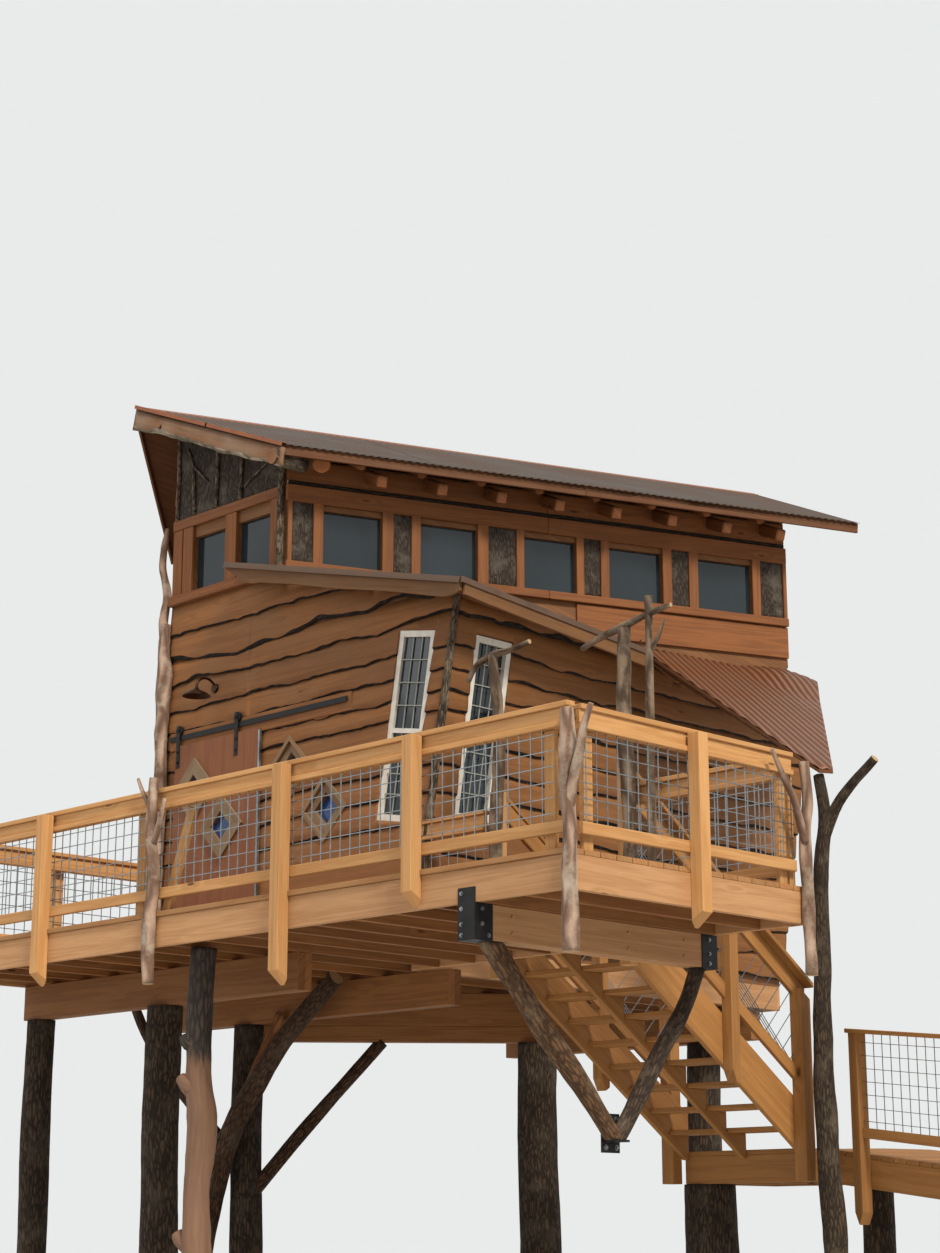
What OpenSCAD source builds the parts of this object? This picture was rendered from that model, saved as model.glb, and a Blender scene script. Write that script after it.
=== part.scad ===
// Tree house: a cabin on log posts with a balcony, a stair down to a landing and a ramp.
// The origin is the middle of the foot of the log under the balcony's front edge.
// +X runs to the right along the balcony, +Y into the house and +Z up.

/* [Deck] */
// Height of the deck's boards over the ground
deck_h = 4000; // [3200:10:4800]
// Length of the balcony along the front
deck_len = 7330; // [6800:10:8200]
// Depth of the balcony, from its front edge to the cabin
deck_depth = 2450; // [2200:10:3000]
// Thickness of the deck boards
board_t = 38; // [25:1:50]
// Width of a deck board
board_w = 140; // [90:1:190]
// Gap between two deck boards
board_gap = 8; // [4:1:14]
// Depth of the joists and the rim
joist_d = 225; // [180:1:280]
// Thickness of the joists and the rim
joist_t = 42; // [35:1:60]
// Spacing of the joists
joist_pitch = 406; // [300:1:610]
// Diameter of the round well that is left in the deck
well_d = 560; // [400:10:700]

/* [Cabin] */
// Depth of the cabin behind the balcony
cabin_depth = 4830; // [4200:10:5600]
// Width of the cabin at the floor
cabin_w = 3360; // [3000:10:4000]
// Thickness of the walls
wall_t = 120; // [90:1:160]
// Outward lean of the right wall, in degrees
lean = 9.9; // [4:0.1:14]
// Width of the upper storey's front
upper_w = 1650; // [1400:10:1900]
// Height of the upper storey's sill over the deck
sill_h = 3460; // [3200:10:3600]
// Height of the upper windows' lower edge over the sill
pane_sill = 80; // [70:5:150]
// Height of the upper windows' glass
pane_h = 550; // [400:10:600]

/* [Main roof] */
// Turn of the ridge from the cabin's depth, in degrees
ridge_turn = 21.8; // [10:0.1:28]
// Height of the ridge over the upper storey's sill
ridge_up = 1990; // [1900:10:2200]
// Pitch of the long side, in degrees
low_pitch = 24.4; // [18:0.1:28]
// Pitch of the steep side, in degrees
steep_pitch = 56; // [50:0.5:60]
// Level width of the long side
low_run = 2060; // [1900:10:2300]
// Overhang in front of the cabin
front_over = 350; // [200:10:450]
// Length of the ridge
ridge_len = 6830; // [6500:10:7400]
// Thickness of the roof's boards and metal together
roof_t = 50; // [40:1:80]
// Diameter of the round rafters
rafter_d = 100; // [80:1:120]

/* [Lower roofs] */
// Height of the lower roof's front left corner over the upper storey's sill
shed_up = 140; // [60:10:200]
// Fall of the lower roof to the right, for each unit of length
shed_fall = 0.2525; // [0.2:0.0025:0.3]
// Height of the lean-to's outer corner over the deck
lean_to_low = 1300; // [900:10:1500]

/* [Openings] */
// Width of the doorway
door_w = 920; // [760:10:1000]
// Height of the doorway
door_h = 2030; // [1900:10:2100]
// Width of the sliding door's panel
panel_w = 1200; // [1100:10:1260]
// Thickness of the sliding door's panel
panel_t = 40; // [30:1:50]
// Width of a tall window
tall_w = 440; // [360:10:500]
// Height of the upper storey's sill over the top of a tall window, along the lean
tall_drop = 810; // [700:10:1000]
// Side of a diamond window over its frame
diamond = 420; // [340:10:450]
// Width of the boards that frame a diamond window's glass
diamond_board = 105; // [70:5:120]

/* [Railing] */
// Height of the railing over the deck
rail_h = 945; // [900:5:1070]
// Side of a sawn post
post_s = 100; // [89:1:140]
// Pitch of the wire mesh
mesh_pitch = 101.6; // [75:0.1:152.4]
// Thickness of a mesh wire
wire = 6; // [4:0.5:10]

/* [Stair and ramp] */
// Fall from the deck to the landing
stair_drop = 1670; // [1400:10:2000]
// Number of risers
risers = 10; // [8:1:12]
// Going of each tread
going = 246; // [220:1:280]
// Width of the stair and the landing
stair_w = 1260; // [1000:10:1400]
// Depth of the landing
landing_d = 1200; // [1000:10:1500]
// Length of the ramp
ramp_len = 3200; // [2800:10:3600]
// Turn of the ramp towards the front, in degrees
ramp_turn = 15; // [0:1:20]
// Slope of the ramp, in degrees
ramp_slope = 6.5; // [4:0.5:9]

/* [Hidden] */

// The clearance at a seat where two curved or slanted faces meet
seat = 0.3;
// The largest reach of a cutting block
far = 12000;
$fn = 32;

log_foot = [-4000, 300];
joist_low = -board_t - joist_d;
girder_d = 290;
girder_t = 140;
girder_low = joist_low - girder_d;
beam_x = -900;
beam_t = 140;
beam_d = 235;
beam_low = joist_low - beam_d;
well_at = [-1180, 0.58 * deck_depth];

pane_low = sill_h + pane_sill;
pane_high = pane_low + pane_h;
ridge_h = sill_h + ridge_up;
shed_h = sill_h + shed_up;
wall_left_x = -deck_len;
wall_right_x = wall_left_x + cabin_w;
wall_y = deck_depth;
wall_back_y = wall_y + cabin_depth;
knee_x = wall_left_x + upper_w;
long_len = cabin_depth / cos(ridge_turn);
ridge_y0 = wall_y - front_over;
ridge_x0 = wall_left_x - 80 - front_over * tan(ridge_turn);
ridge_dir = [sin(ridge_turn), cos(ridge_turn)];
fall_dir = [cos(ridge_turn), -sin(ridge_turn)];
steep_over = 400;

stair_left = -3010;
stair_right = stair_left + stair_w;
landing_y = deck_depth + going * (risers - 1);
riser = stair_drop / risers;
tread_t = 38;

// The distance of a point from the ridge, positive on the long side
function off_ridge(p) = (p.x - ridge_x0) * fall_dir.x + (p.y - ridge_y0) * fall_dir.y;
// The height of the main roof's upper face
function main_z(p) = let (d = off_ridge(p)) d > 0 ? ridge_h - d * tan(low_pitch) :
    ridge_h + d * tan(steep_pitch);
// The height of the lower roof's upper face
shed_left = knee_x - 530;
shed_front = wall_y - 260;
// A point on the upper storey's long wall, by its distance along the wall
function long_at(u, out = 0) = [knee_x + u * ridge_dir.x + out * fall_dir.x,
    wall_y + u * ridge_dir.y + out * fall_dir.y];
function unit(v) = v / norm(v);
function mix(a, b, k) = a + (b - a) * k;
function at_z(p, z) = [p.x, p.y, z];

// From the corner of the deck to the part's own frame
module site() {
    translate([-log_foot.x, -log_foot.y, deck_h]) children();
}

module block(low, high) {
    translate(low) cube(high - low);
}

// A wall piece from its outline seen from the front
module front_panel(points, y0, t) {
    translate([0, y0 + t, 0]) rotate([90, 0, 0]) linear_extrude(t) polygon(points);
}

// A wall piece from its outline seen from the side
module side_panel(points, x0, t) {
    translate([x0, 0, 0]) rotate([90, 0, 90]) linear_extrude(t) polygon(points);
}

// A sheet of even thickness over a plan outline that turns left, with the height of each corner
module sheet(plan, tops, t) {
    n = len(plan);
    points = concat([for (i = [0:n - 1]) at_z(plan[i], tops[i])],
        [for (i = [0:n - 1]) at_z(plan[i], tops[i] - t)]);
    faces = concat([[for (i = [n - 1:-1:0]) i]], [[for (i = [0:n - 1]) n + i]],
        [for (i = [0:n - 1]) [i, (i + 1) % n, n + (i + 1) % n, n + i]]);
    polyhedron(points, faces);
}

// A warped sheet between two edges of equal counts, from up over them to down under them
module ruled(tops, lows, up, down) {
    m = len(tops);
    edge = concat(tops, [for (i = [m - 1:-1:0]) lows[i]]);
    n = 2 * m;
    points = concat([for (p = edge) p + [0, 0, up]], [for (p = edge) p - [0, 0, down]]);
    strips = [for (i = [0:m - 2]) each [[i, i + 1, n - 1 - i], [i + 1, n - 2 - i, n - 1 - i]]];
    sides = [for (i = [0:n - 1]) [i, n + i, n + (i + 1) % n, (i + 1) % n]];
    polyhedron(points, concat(strips, [for (f = strips) [n + f.z, n + f.y, n + f.x]], sides));
}

// A natural limb that follows a path, with its radius at each point
module limb(path, radii, ref = [0, 1, 0], sides = 10) {
    m = len(path);
    points = [for (i = [0:m - 1]) let (t = unit(path[min(i + 1, m - 1)] - path[max(i - 1, 0)]),
        u = unit(cross(t, ref)), w = cross(t, u)) for (k = [0:sides - 1])
        path[i] + radii[i] * (cos(360 * k / sides) * u + sin(360 * k / sides) * w)];
    faces = concat([[for (k = [0:sides - 1]) k]],
        [for (i = [0:m - 2]) for (k = [0:sides - 1]) [i * sides + k, (i + 1) * sides + k,
            (i + 1) * sides + (k + 1) % sides, i * sides + (k + 1) % sides]],
        [[for (k = [sides - 1:-1:0]) (m - 1) * sides + k]]);
    polyhedron(points, faces);
}

// A round log between two points
module log_between(a, b, ra, rb) {
    d = b - a;
    translate(a) rotate([0, acos(d.z / norm(d)), atan2(d.y, d.x)]) cylinder(r1 = ra, r2 = rb, h = norm(d));
}

// A standing log from the ground to a height over the deck
module standing_log(at, top, r) {
    translate([at.x, at.y, -deck_h]) cylinder(r1 = r * 1.12, r2 = r, h = top + deck_h);
}

// The space under the main roof's long side and its steep side, down to below the deck
module under_main_roof(depth, steep_depth) {
    low = ridge_h - depth;
    steep = ridge_h - steep_depth;
    translate([ridge_x0, ridge_y0, 0]) rotate([0, 0, -ridge_turn])
        translate([0, far, 0]) rotate([90, 0, 0]) linear_extrude(2 * far)
            polygon([[-far, steep - far * tan(steep_pitch)], [0, steep], [0.1, low],
                [far, low - far * tan(low_pitch)], [far, -2 * far], [-far, -2 * far]]);
}

// The body of the upper storey's long wall, grown by a clearance
long_low = sill_h - 600;
module long_wall_body(grow) {
    translate([knee_x, wall_y, 0]) rotate([0, 0, -ridge_turn])
        block([-wall_t - grow, -grow, long_low - grow], [grow, long_len + grow, ridge_h]);
}

/* Logs and beams under the house */

module front_log() {
    color("#6b5a4a") standing_log(log_foot, joist_low, 95);
}

// The round logs under the house, each with its radius, and the girders that they carry
front_y = 1000;
middle_y = wall_y + 150;
rear_y = wall_back_y - 310;
crossing_post = [wall_left_x + 1100, middle_y, 135];
corner_log = [wall_right_x - 570, wall_y + 2050, 170];
house_log_at = [[wall_left_x + 1965, front_y, 145], [wall_left_x + 230, front_y, 120], crossing_post,
    [wall_left_x + 430, rear_y, 160], [wall_right_x - 700, rear_y, 160]];
diagonal_low = girder_low - 140;
diagonal_run = [corner_log.x - crossing_post.x, corner_log.y - crossing_post.y];
function diagonal_at(k, z) = [crossing_post.x + k * diagonal_run.x, crossing_post.y + k * diagonal_run.y,
    z];

module house_logs() {
    color("#5f4d40") difference() {
        union() {
            for (p = house_log_at) standing_log(p, girder_low, p.z);
            standing_log(corner_log, diagonal_low, corner_log.z);
        }
        diagonal_girder(1 + seat);
    }
}

// The stacked girder that runs slanting from the middle girder to the log at the back of the stair
module diagonal_girder(grow = 0) {
    w = girder_t / 2 + grow;
    difference() {
        translate([crossing_post.x, crossing_post.y, 0])
            rotate([0, 0, atan2(diagonal_run.y, diagonal_run.x)])
            block([-100, -w, diagonal_low - grow], [norm(diagonal_run) + corner_log.z, w, joist_low]);
        block([-far, -far, -far], [far, middle_y + girder_t / 2 + seat - grow, far]);
    }
}

module girders() {
    color("#b98a55") {
        for (y = [front_y, middle_y]) block([wall_left_x + 60, y - girder_t / 2, girder_low],
            [wall_right_x + 320, y + girder_t / 2, joist_low]);
        block([wall_left_x + 60, rear_y - girder_t / 2, girder_low],
            [wall_right_x - 60, rear_y + girder_t / 2, joist_low]);
        diagonal_girder();
    }
}

module log_braces() {
    y = middle_y - 265;
    x = crossing_post.x;
    foot = [x - 750, y, -deck_h - 100];
    fork = [x + 60, y, -1550];
    rise = [x + 1430, y, joist_low + 80];
    branch = [[fork.x - 150, y, -1520], [x - 570, y - 90, -1050], [x - 900, y - 190, -600],
        [wall_left_x + 22, y - 230, joist_low + 60]];
    color("#4f4035") difference() {
        union() {
            limb([foot, mix(foot, fork, 0.3) + [30, 0, 0], [x - 260, y, -2490], fork,
                mix(fork, rise, 0.5) + [-40, 0, 60], rise],
                [118, 112, 102, 94, 80, 66]);
            limb(branch, [56, 54, 48, 44]);
            log_between([x - 60, middle_y - 115, -1440], [x + 560, middle_y - 115, girder_low + 60], 45,
                45);
            log_between([x + 60, middle_y + 70, -2000], diagonal_at(0.46, diagonal_low + 60), 62, 55);
        }
        standing_log(crossing_post, girder_low, crossing_post.z + 1);
        diagonal_girder(1);
        block([-far, -far, joist_low - seat], [far, far, 0]);
        block([-far, -far, -far], [far, far, -deck_h]);
    }
}

module main_beam() {
    color("#b5854f") block([beam_x - beam_t / 2, 0, beam_low],
        [beam_x + beam_t / 2, deck_depth, joist_low]);
}

bracket_t = 8;
module beam_brackets() {
    x0 = beam_x - beam_t / 2;
    x1 = beam_x + beam_t / 2;
    color("#1d1d1f") {
        block([x0 - bracket_t, -bracket_t, beam_low - bracket_t], [x1 + bracket_t, 0, joist_low + 100]);
        block([x0 - bracket_t, 0, beam_low - bracket_t], [x1 + bracket_t, 160, beam_low]);
        for (x = [x0 - bracket_t, x1]) block([x, 0, beam_low], [x + bracket_t, 160, joist_low]);
        block([x0 - bracket_t, deck_depth, beam_low - bracket_t],
            [x1 + bracket_t, deck_depth + bracket_t, joist_low]);
        block([x0 - bracket_t, deck_depth - 160, beam_low - bracket_t],
            [x1 + bracket_t, deck_depth, beam_low]);
        for (x = [x0 - bracket_t, x1]) block([x, deck_depth - 160, beam_low],
            [x + bracket_t, deck_depth, joist_low]);
    }
}

brace_foot = [beam_x, well_at.y, -1680];
bolt_span_y = 110;
bolt_span_z = 190;
bolt_hole = 18;
module tree_bracket() {
    plate_t = 12;
    x0 = beam_x - 60;
    color("#26262a") difference() {
        union() {
            block([x0, well_at.y - 90, brace_foot.z - 130],
                [x0 + plate_t, well_at.y + 90, brace_foot.z + 130]);
            block([x0 + plate_t, well_at.y - 70, brace_foot.z - 60],
                [beam_x + 60, well_at.y + 70, brace_foot.z - 45]);
        }
        for (y = [-1, 1]) for (z = [-1, 1])
            translate([x0 - 1, well_at.y + y * bolt_span_y / 2, brace_foot.z + z * bolt_span_z / 2])
                rotate([0, 90, 0]) cylinder(d = bolt_hole, h = plate_t + 2);
    }
}

module knee_braces() {
    color("#8a7156") difference() {
        union() {
            log_between(brace_foot + [0, -62, 0], [beam_x, 170, beam_low + 40], 68, 78);
            log_between(brace_foot + [0, 62, 0], [beam_x, deck_depth - 80, beam_low + 40], 60, 62);
        }
        block([-far, -far, beam_low - bracket_t - seat], [far, far, 0]);
        block([-far, well_at.y - 4, -far], [far, well_at.y + 4, far]);
        block([-far, 0, -far], [far, far, brace_foot.z - 45 + seat]);
        block([-far, 0, -far], [beam_x - 48 + seat, far, brace_foot.z + 130 + seat]);
    }
}

/* Deck */

module well(grow = 0) {
    translate([well_at.x, well_at.y, -far / 2]) cylinder(d = well_d + grow, h = far);
}

module deck_rim() {
    color("#d2a168") {
        block([wall_left_x, 0, joist_low], [0, joist_t, -board_t]);
        block([-joist_t, joist_t, joist_low], [0, deck_depth, -board_t]);
        block([wall_right_x - joist_t, deck_depth - joist_t, joist_low], [-joist_t, deck_depth, -board_t]);
        block([wall_left_x, joist_t, joist_low], [wall_left_x + joist_t, wall_back_y, -board_t]);
        block([wall_left_x + joist_t, wall_back_y - joist_t, joist_low],
            [wall_right_x, wall_back_y, -board_t]);
        block([wall_right_x - joist_t, deck_depth, joist_low],
            [wall_right_x, wall_back_y - joist_t, -board_t]);
    }
}

module deck_joists() {
    color("#b07f4c") difference() {
        for (x = [wall_left_x + joist_pitch:joist_pitch:-joist_pitch / 2])
            block([x, joist_t, joist_low], [x + joist_t, x < wall_right_x - 2 * joist_t ?
                wall_back_y - joist_t : deck_depth - joist_t, -board_t]);
        well();
        block([wall_right_x - joist_t, deck_depth - joist_t, joist_low - 1], [0, wall_back_y, 0]);
    }
}

module deck_boards() {
    rows = floor((deck_depth + board_gap) / (board_w + board_gap));
    pitch = (deck_depth - seat + board_gap) / rows;
    color("#cf9f66") difference() {
        for (i = [0:rows - 1]) block([wall_left_x, i * pitch, -board_t],
            [0, (i + 1) * pitch - board_gap, 0]);
        well();
    }
}

module cabin_floor() {
    color("#b98a58") block([wall_left_x, wall_y, -board_t], [wall_right_x, wall_back_y, 0]);
}

/* Lower storey */

door_left = wall_left_x + 270;
door_right = door_left + door_w;
function lean_x(z) = wall_right_x + z * tan(lean);
shed_t = 60;

diamond_low = [wall_right_x - 1120, 1215];
diamond_high = [wall_right_x - 1590, 1635];
diamond_hole = diamond - 2 * 35;
diamond_pane = diamond - 2 * diamond_board;
// The foot of the front tall window, and the near edge and height along the wall of the side one
tall_at = [wall_right_x - 450, 1030];
tall_h = sill_h - tall_drop - tall_at.y;
right_window_y = wall_y + 240;
right_window_h = tall_h - 70;
right_window_low = 1015;

module diamond_cut(at, s) {
    translate([at.x, 0, at.y]) rotate([0, 45, 0]) cube([s, far, s], center = true);
}

// The tall window's outline in the front wall, drawn in from its edges, leaning as the corner does
module tall_outline(inset, y0, t) {
    translate([tall_at.x, 0, tall_at.y]) rotate([0, lean, 0])
        block([inset, y0, inset], [tall_w - inset, y0 + t, tall_h - inset]);
}

module right_outline(inset, x0, t) {
    translate([wall_right_x, 0, 0]) rotate([0, lean, 0])
        block([x0, right_window_y + inset, right_window_low + inset],
            [x0 + t, right_window_y + tall_w - inset, right_window_low + right_window_h - inset]);
}

module wall_front_left() {
    color("#b07443") block([wall_left_x, wall_y, 0], [door_left, wall_y + wall_t, sill_h]);
}

module wall_over_door() {
    color("#b07443") block([door_left, wall_y, door_h], [door_right, wall_y + wall_t, sill_h]);
}

module wall_front_right() {
    color("#b07443") difference() {
        front_panel([[door_right, 0], [wall_right_x, 0], [lean_x(sill_h), sill_h], [door_right, sill_h]],
            wall_y, wall_t);
        for (p = [diamond_low, diamond_high]) diamond_cut(p, diamond_hole);
        tall_outline(0, 0, far);
        long_wall_body(seat);
        shed(far, shed_t + seat);
    }
}

module wall_right() {
    color("#a86f40") difference() {
        translate([wall_right_x, 0, 0]) rotate([0, lean, 0])
            block([-wall_t, wall_y + wall_t + seat, -200],
                [0, wall_back_y - wall_t - seat, long_low / cos(lean)]);
        right_outline(0, -far, 2 * far);
        block([-far, 0, -far], [far, far, 0]);
        shed(far, shed_t + seat);
        lean_to(far, 30 + seat);
        long_wall_body(seat);
    }
}

module wall_left() {
    color("#a86f40") intersection() {
        block([wall_left_x, wall_y + wall_t, 0], [wall_left_x + wall_t, wall_back_y - wall_t, far]);
        under_main_roof(roof_t + seat, roof_t + seat);
    }
}

module wall_back() {
    z = sill_h - 820;
    outline = [[wall_left_x, 0], [wall_right_x, 0], [lean_x(z), z], [lean_x(z) - 200, z],
        [lean_x(z) - 200, far], [wall_left_x, far]];
    color("#a86f40") intersection() {
        difference() {
            front_panel(outline, wall_back_y - wall_t, wall_t);
            long_wall_body(seat);
            translate([knee_x, wall_y, 0]) rotate([0, 0, -ridge_turn])
                block([0, 0, z + 60], [far, far, far]);
            lean_to(far, 30 + seat);
        }
        under_main_roof(wall_top_depth, roof_t + seat);
    }
}

/* Upper storey */

upper_panes = [[wall_left_x + 290, wall_left_x + 780], [wall_left_x + 940, wall_left_x + 1430]];
long_panes = [[330, 910], [1290, 1870], [2350, 2900], [3250, 3830], [4220, 4830]];
wall_top_depth = roof_t + rafter_d / cos(low_pitch) + 2 * seat;

module upper_front_wall() {
    color("#6f655b") intersection() {
        difference() {
            block([wall_left_x, wall_y, sill_h], [knee_x, wall_y + wall_t, far]);
            for (p = upper_panes) block([p[0], 0, pane_low], [p[1], far, pane_high]);
            long_wall_body(seat);
        }
        under_main_roof(roof_t + seat, roof_t + seat);
    }
}

module upper_long_wall() {
    color("#6f655b") intersection() {
        difference() {
            long_wall_body(0);
            translate([knee_x, wall_y, 0]) rotate([0, 0, -ridge_turn])
                for (p = long_panes) block([-far, p[0], pane_low], [far, p[1], pane_high]);
        }
        under_main_roof(wall_top_depth, roof_t + seat);
    }
}

pane_t = 6;
frame_w = 70;
frame_out = 25;
module clerestory_frames() {
    color("#c48a50") {
        for (p = upper_panes) difference() {
            block([p[0] - frame_w, wall_y - frame_out, pane_low - frame_w],
                [p[1] + frame_w, wall_y - seat, pane_high + frame_w]);
            block([p[0], 0, pane_low], [p[1], far, pane_high]);
        }
        translate([knee_x, wall_y, 0]) rotate([0, 0, -ridge_turn]) for (p = long_panes) difference() {
            block([seat, p[0] - frame_w, pane_low - frame_w],
                [frame_out, p[1] + frame_w, pane_high + frame_w]);
            block([-far, p[0], pane_low], [far, p[1], pane_high]);
        }
    }
}

module clerestory_glass() {
    color("#9fb6bf", 0.4) {
        for (p = upper_panes) block([p[0], wall_y + 40, pane_low], [p[1], wall_y + 40 + pane_t, pane_high]);
        translate([knee_x, wall_y, 0]) rotate([0, 0, -ridge_turn])
            for (p = long_panes) block([-40 - pane_t, p[0], pane_low], [-40, p[1], pane_high]);
    }
}

/* Tall and diamond windows */

casing = 55;
sash_z = 0.46 * tall_h;
module tall_window_frames() {
    color("#e6e2d8") {
        difference() {
            tall_outline(0, wall_y - frame_out, 60);
            tall_outline(casing, 0, far);
        }
        translate([tall_at.x, 0, tall_at.y]) rotate([0, lean, 0])
            block([casing, wall_y - frame_out + 5, sash_z], [tall_w - casing, wall_y, sash_z + 40]);
        difference() {
            right_outline(0, -50, 50 + frame_out);
            right_outline(casing, -far, 2 * far);
        }
        translate([wall_right_x, 0, 0]) rotate([0, lean, 0])
            block([-20, right_window_y + casing, right_window_low + sash_z],
                [frame_out - 5, right_window_y + tall_w - casing, right_window_low + sash_z + 40]);
    }
}

module tall_window_glass() {
    color("#8fa6ad", 0.4) {
        tall_outline(casing, wall_y, pane_t);
        right_outline(casing, -20 - pane_t, pane_t);
    }
}

// A square frame that stands on its corner, from its outer and inner sides
module diamond_ring(at, outer, inner, y0, y1) {
    translate([at.x, (y0 + y1) / 2, at.y]) rotate([0, 45, 0]) difference() {
        cube([outer, y1 - y0, outer], center = true);
        cube([inner, far, inner], center = true);
    }
}

module diamond_frames() {
    color("#7d6a55") for (p = [diamond_low, diamond_high]) {
        diamond_ring(p, diamond, diamond_hole - 20, wall_y - 20, wall_y - seat);
        diamond_ring(p, diamond_hole - 2 * seat, diamond_pane, wall_y - 6, wall_y + 45);
    }
}

module diamond_glass() {
    color("#7c9bb0", 0.4) for (p = [diamond_low, diamond_high])
        translate([p.x, wall_y + 45 + pane_t / 2, p.y]) rotate([0, 45, 0])
            cube([diamond_pane + 40, pane_t, diamond_pane + 40], center = true);
}

/* Natural corner post with its twisted limb */

module corner_post() {
    x = wall_left_x - 40;
    y = wall_y - 60;
    top = sill_h - 210;
    color("#a98a68") difference() {
        union() {
            limb([[x, y, -60], [x - 15, y, 900], [x + 20, y, 1700], [x - 10, y, 2500], [x + 15, y, top]],
                [78, 70, 72, 74, 60]);
            limb([[x, y, top - 130], [x - 40, y, top + 80], [x - 5, y, top + 310], [x - 75, y, top + 650],
                [x - 20, y, top + 1000]], [52, 40, 40, 34, 22]);
        }
        block([wall_left_x - seat, wall_y - seat, 0], [far, far, far]);
        block([-far, -far, -far], [far, far, 0]);
    }
}

/* Main roof */

ridge_p0 = [ridge_x0, ridge_y0];
ridge_p1 = ridge_p0 + ridge_len * ridge_dir;
eave_p0 = ridge_p0 + low_run / fall_dir.x * [1, 0];
eave_p1 = ridge_p1 + low_run * fall_dir;
steep_p0 = ridge_p0 + 1000 * [-0.5, 0.866];
steep_p1 = [steep_p0.x + 120, wall_back_y + 350];

module main_roof_low() {
    plan = [ridge_p0, eave_p0, eave_p1, ridge_p1];
    color("#7b5a45") sheet(plan, [for (p = plan) main_z(p + 0.01 * fall_dir)], roof_t);
}

module main_roof_steep() {
    back = ridge_p1 - 900 * fall_dir;
    plan = [ridge_p0, ridge_p1, back, steep_p1, steep_p0];
    color("#8a5536") difference() {
        sheet(plan, [for (p = plan) main_z(p - 0.01 * fall_dir)], roof_t);
        block([0, 0, 0], [1, 1, 1]);
    }
}

module ridge_cap() {
    w = 130;
    t = 12;
    a = ridge_p0 - 20 * ridge_dir;
    b = ridge_p1 + 20 * ridge_dir;
    low = [a, a + w * fall_dir, b + w * fall_dir, b];
    steep = [a, b, b - w * fall_dir, a - w * fall_dir];
    color("#8c4d2c") {
        sheet(low, [for (p = low) main_z(p + 0.01 * fall_dir) + t + seat], t);
        sheet(steep, [for (p = steep) main_z(p - 0.01 * fall_dir) + t + seat], t);
    }
}

rafter_s = [1250:800:6400];
module rafters() {
    drop = roof_t + rafter_d / 2 / cos(low_pitch) + seat;
    color("#9a6b42") translate([ridge_x0, ridge_y0, 0]) rotate([0, 0, -ridge_turn]) for (s = rafter_s)
        translate([0, s, ridge_h - drop]) rotate([0, 90 + low_pitch, 0])
            translate([0, 0, 250]) cylinder(d = rafter_d, h = (low_run - 60) / cos(low_pitch) - 250);
}

fascia_t = 30;
fascia_d = 140;
module main_fascia() {
    color("#a5673a") {
        plan_e = [eave_p0 - fascia_t * fall_dir, eave_p0, eave_p1, eave_p1 - fascia_t * fall_dir];
        sheet(plan_e, [for (p = plan_e) main_z(eave_p0) - roof_t - seat], fascia_d - roof_t);
    }
}

/* Lower roofs */

shed_right = wall_right_x + 810;
shed_back = wall_y + 2050;
rake_z = function (x) shed_h - (x - shed_left) * shed_fall;
wall_edge_a = [knee_x, wall_y, sill_h - 20];
wall_edge_b = at_z(long_at(3400), sill_h - 310);
eave_a = [shed_right, wall_y, rake_z(shed_right) - 30];
eave_b = [shed_right, shed_back, sill_h - 840];
strips = 6;
shed_tops = concat([at_z(long_at(-260 / cos(ridge_turn)), rake_z(knee_x - 105))],
    [for (i = [0:strips]) mix(wall_edge_a, wall_edge_b, i / strips) + seat * [fall_dir.x, fall_dir.y, 0]]);
shed_lows = concat([[shed_right, shed_front, rake_z(shed_right)]],
    [for (i = [0:strips]) mix(eave_a, eave_b, i / strips)]);

// The lower roof's solid, from up over its upper face to down under it
module shed(up, down) {
    ruled(shed_tops, shed_lows, up, down);
}

module shed_roof() {
    corner = shed_tops[0];
    left = [[shed_left, shed_front], [corner.x, shed_front], [corner.x + 90, wall_y - frame_out - 1],
        [shed_left, wall_y - frame_out - 1]];
    color("#94582f") {
        shed(0, shed_t);
        sheet(left, [for (p = left) rake_z(p.x)], shed_t);
    }
}

module shed_fascia() {
    front = [[shed_left, shed_front - fascia_t], [shed_right, shed_front - fascia_t],
        [shed_right, shed_front - seat], [shed_left, shed_front - seat]];
    out = [seat, 0, 0];
    wide = [fascia_t, 0, 0];
    eave = concat([shed_lows[0]], [for (i = [0:strips]) mix(eave_a, eave_b, 0.98 * i / strips)]);
    color("#a8683a") {
        sheet(front, [for (p = front) rake_z(p.x) + 10], 170);
        ruled([for (p = eave) p + out], [for (p = eave) p + wide], 10, 140);
    }
}

lean_d1 = [stair_right + 460, landing_y - 264];
lean_d2 = [stair_right + 520, landing_y - 154];

// The lean-to's solid over the stair, from up over its upper face to down under it
module lean_to(up, down) {
    edge = [wall_edge_b + [2, 2, 0], eave_b + [0, 1, 0], at_z(lean_d1, lean_to_low),
        at_z(lean_d2, lean_to_low),
        at_z(long_at(long_len, 2), sill_h - 470)];
    points = concat([for (q = edge) q + [0, 0, up]], [for (q = edge) q - [0, 0, down]]);
    polyhedron(points, [[0, 2, 1], [0, 3, 2], [0, 4, 3], [5, 6, 7], [5, 7, 8], [5, 8, 9],
        [0, 1, 6, 5], [1, 2, 7, 6], [2, 3, 8, 7], [3, 4, 9, 8], [4, 0, 5, 9]]);
}

module lean_to_roof() {
    color("#a45e35") lean_to(0, 30);
}

module forked_post() {
    x = stair_right + 365;
    y = landing_y - 195;
    fork = [x + 105, y, 900];
    color("#4d4137") difference() {
        union() {
            limb([[x + 30, y, -deck_h - 60], [x + 25, y, -2380], [x - 25, y, -1330], [x, y, -220],
                [x + 30, y, 500], fork + [-20, 0, 0],
                [lean_d1.x - 60, y, lean_to_low + 200]], [110, 92, 85, 67, 64, 52, 42]);
            limb([fork + [-60, 0, -200], fork + [120, 0, 120], [x + 595, y, 1330]], [52, 42, 36]);
        }
        lean_to(far, 30 + seat);
        block([-far, -far, -far], [far, far, -deck_h]);
    }
}

/* Sliding door */

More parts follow.
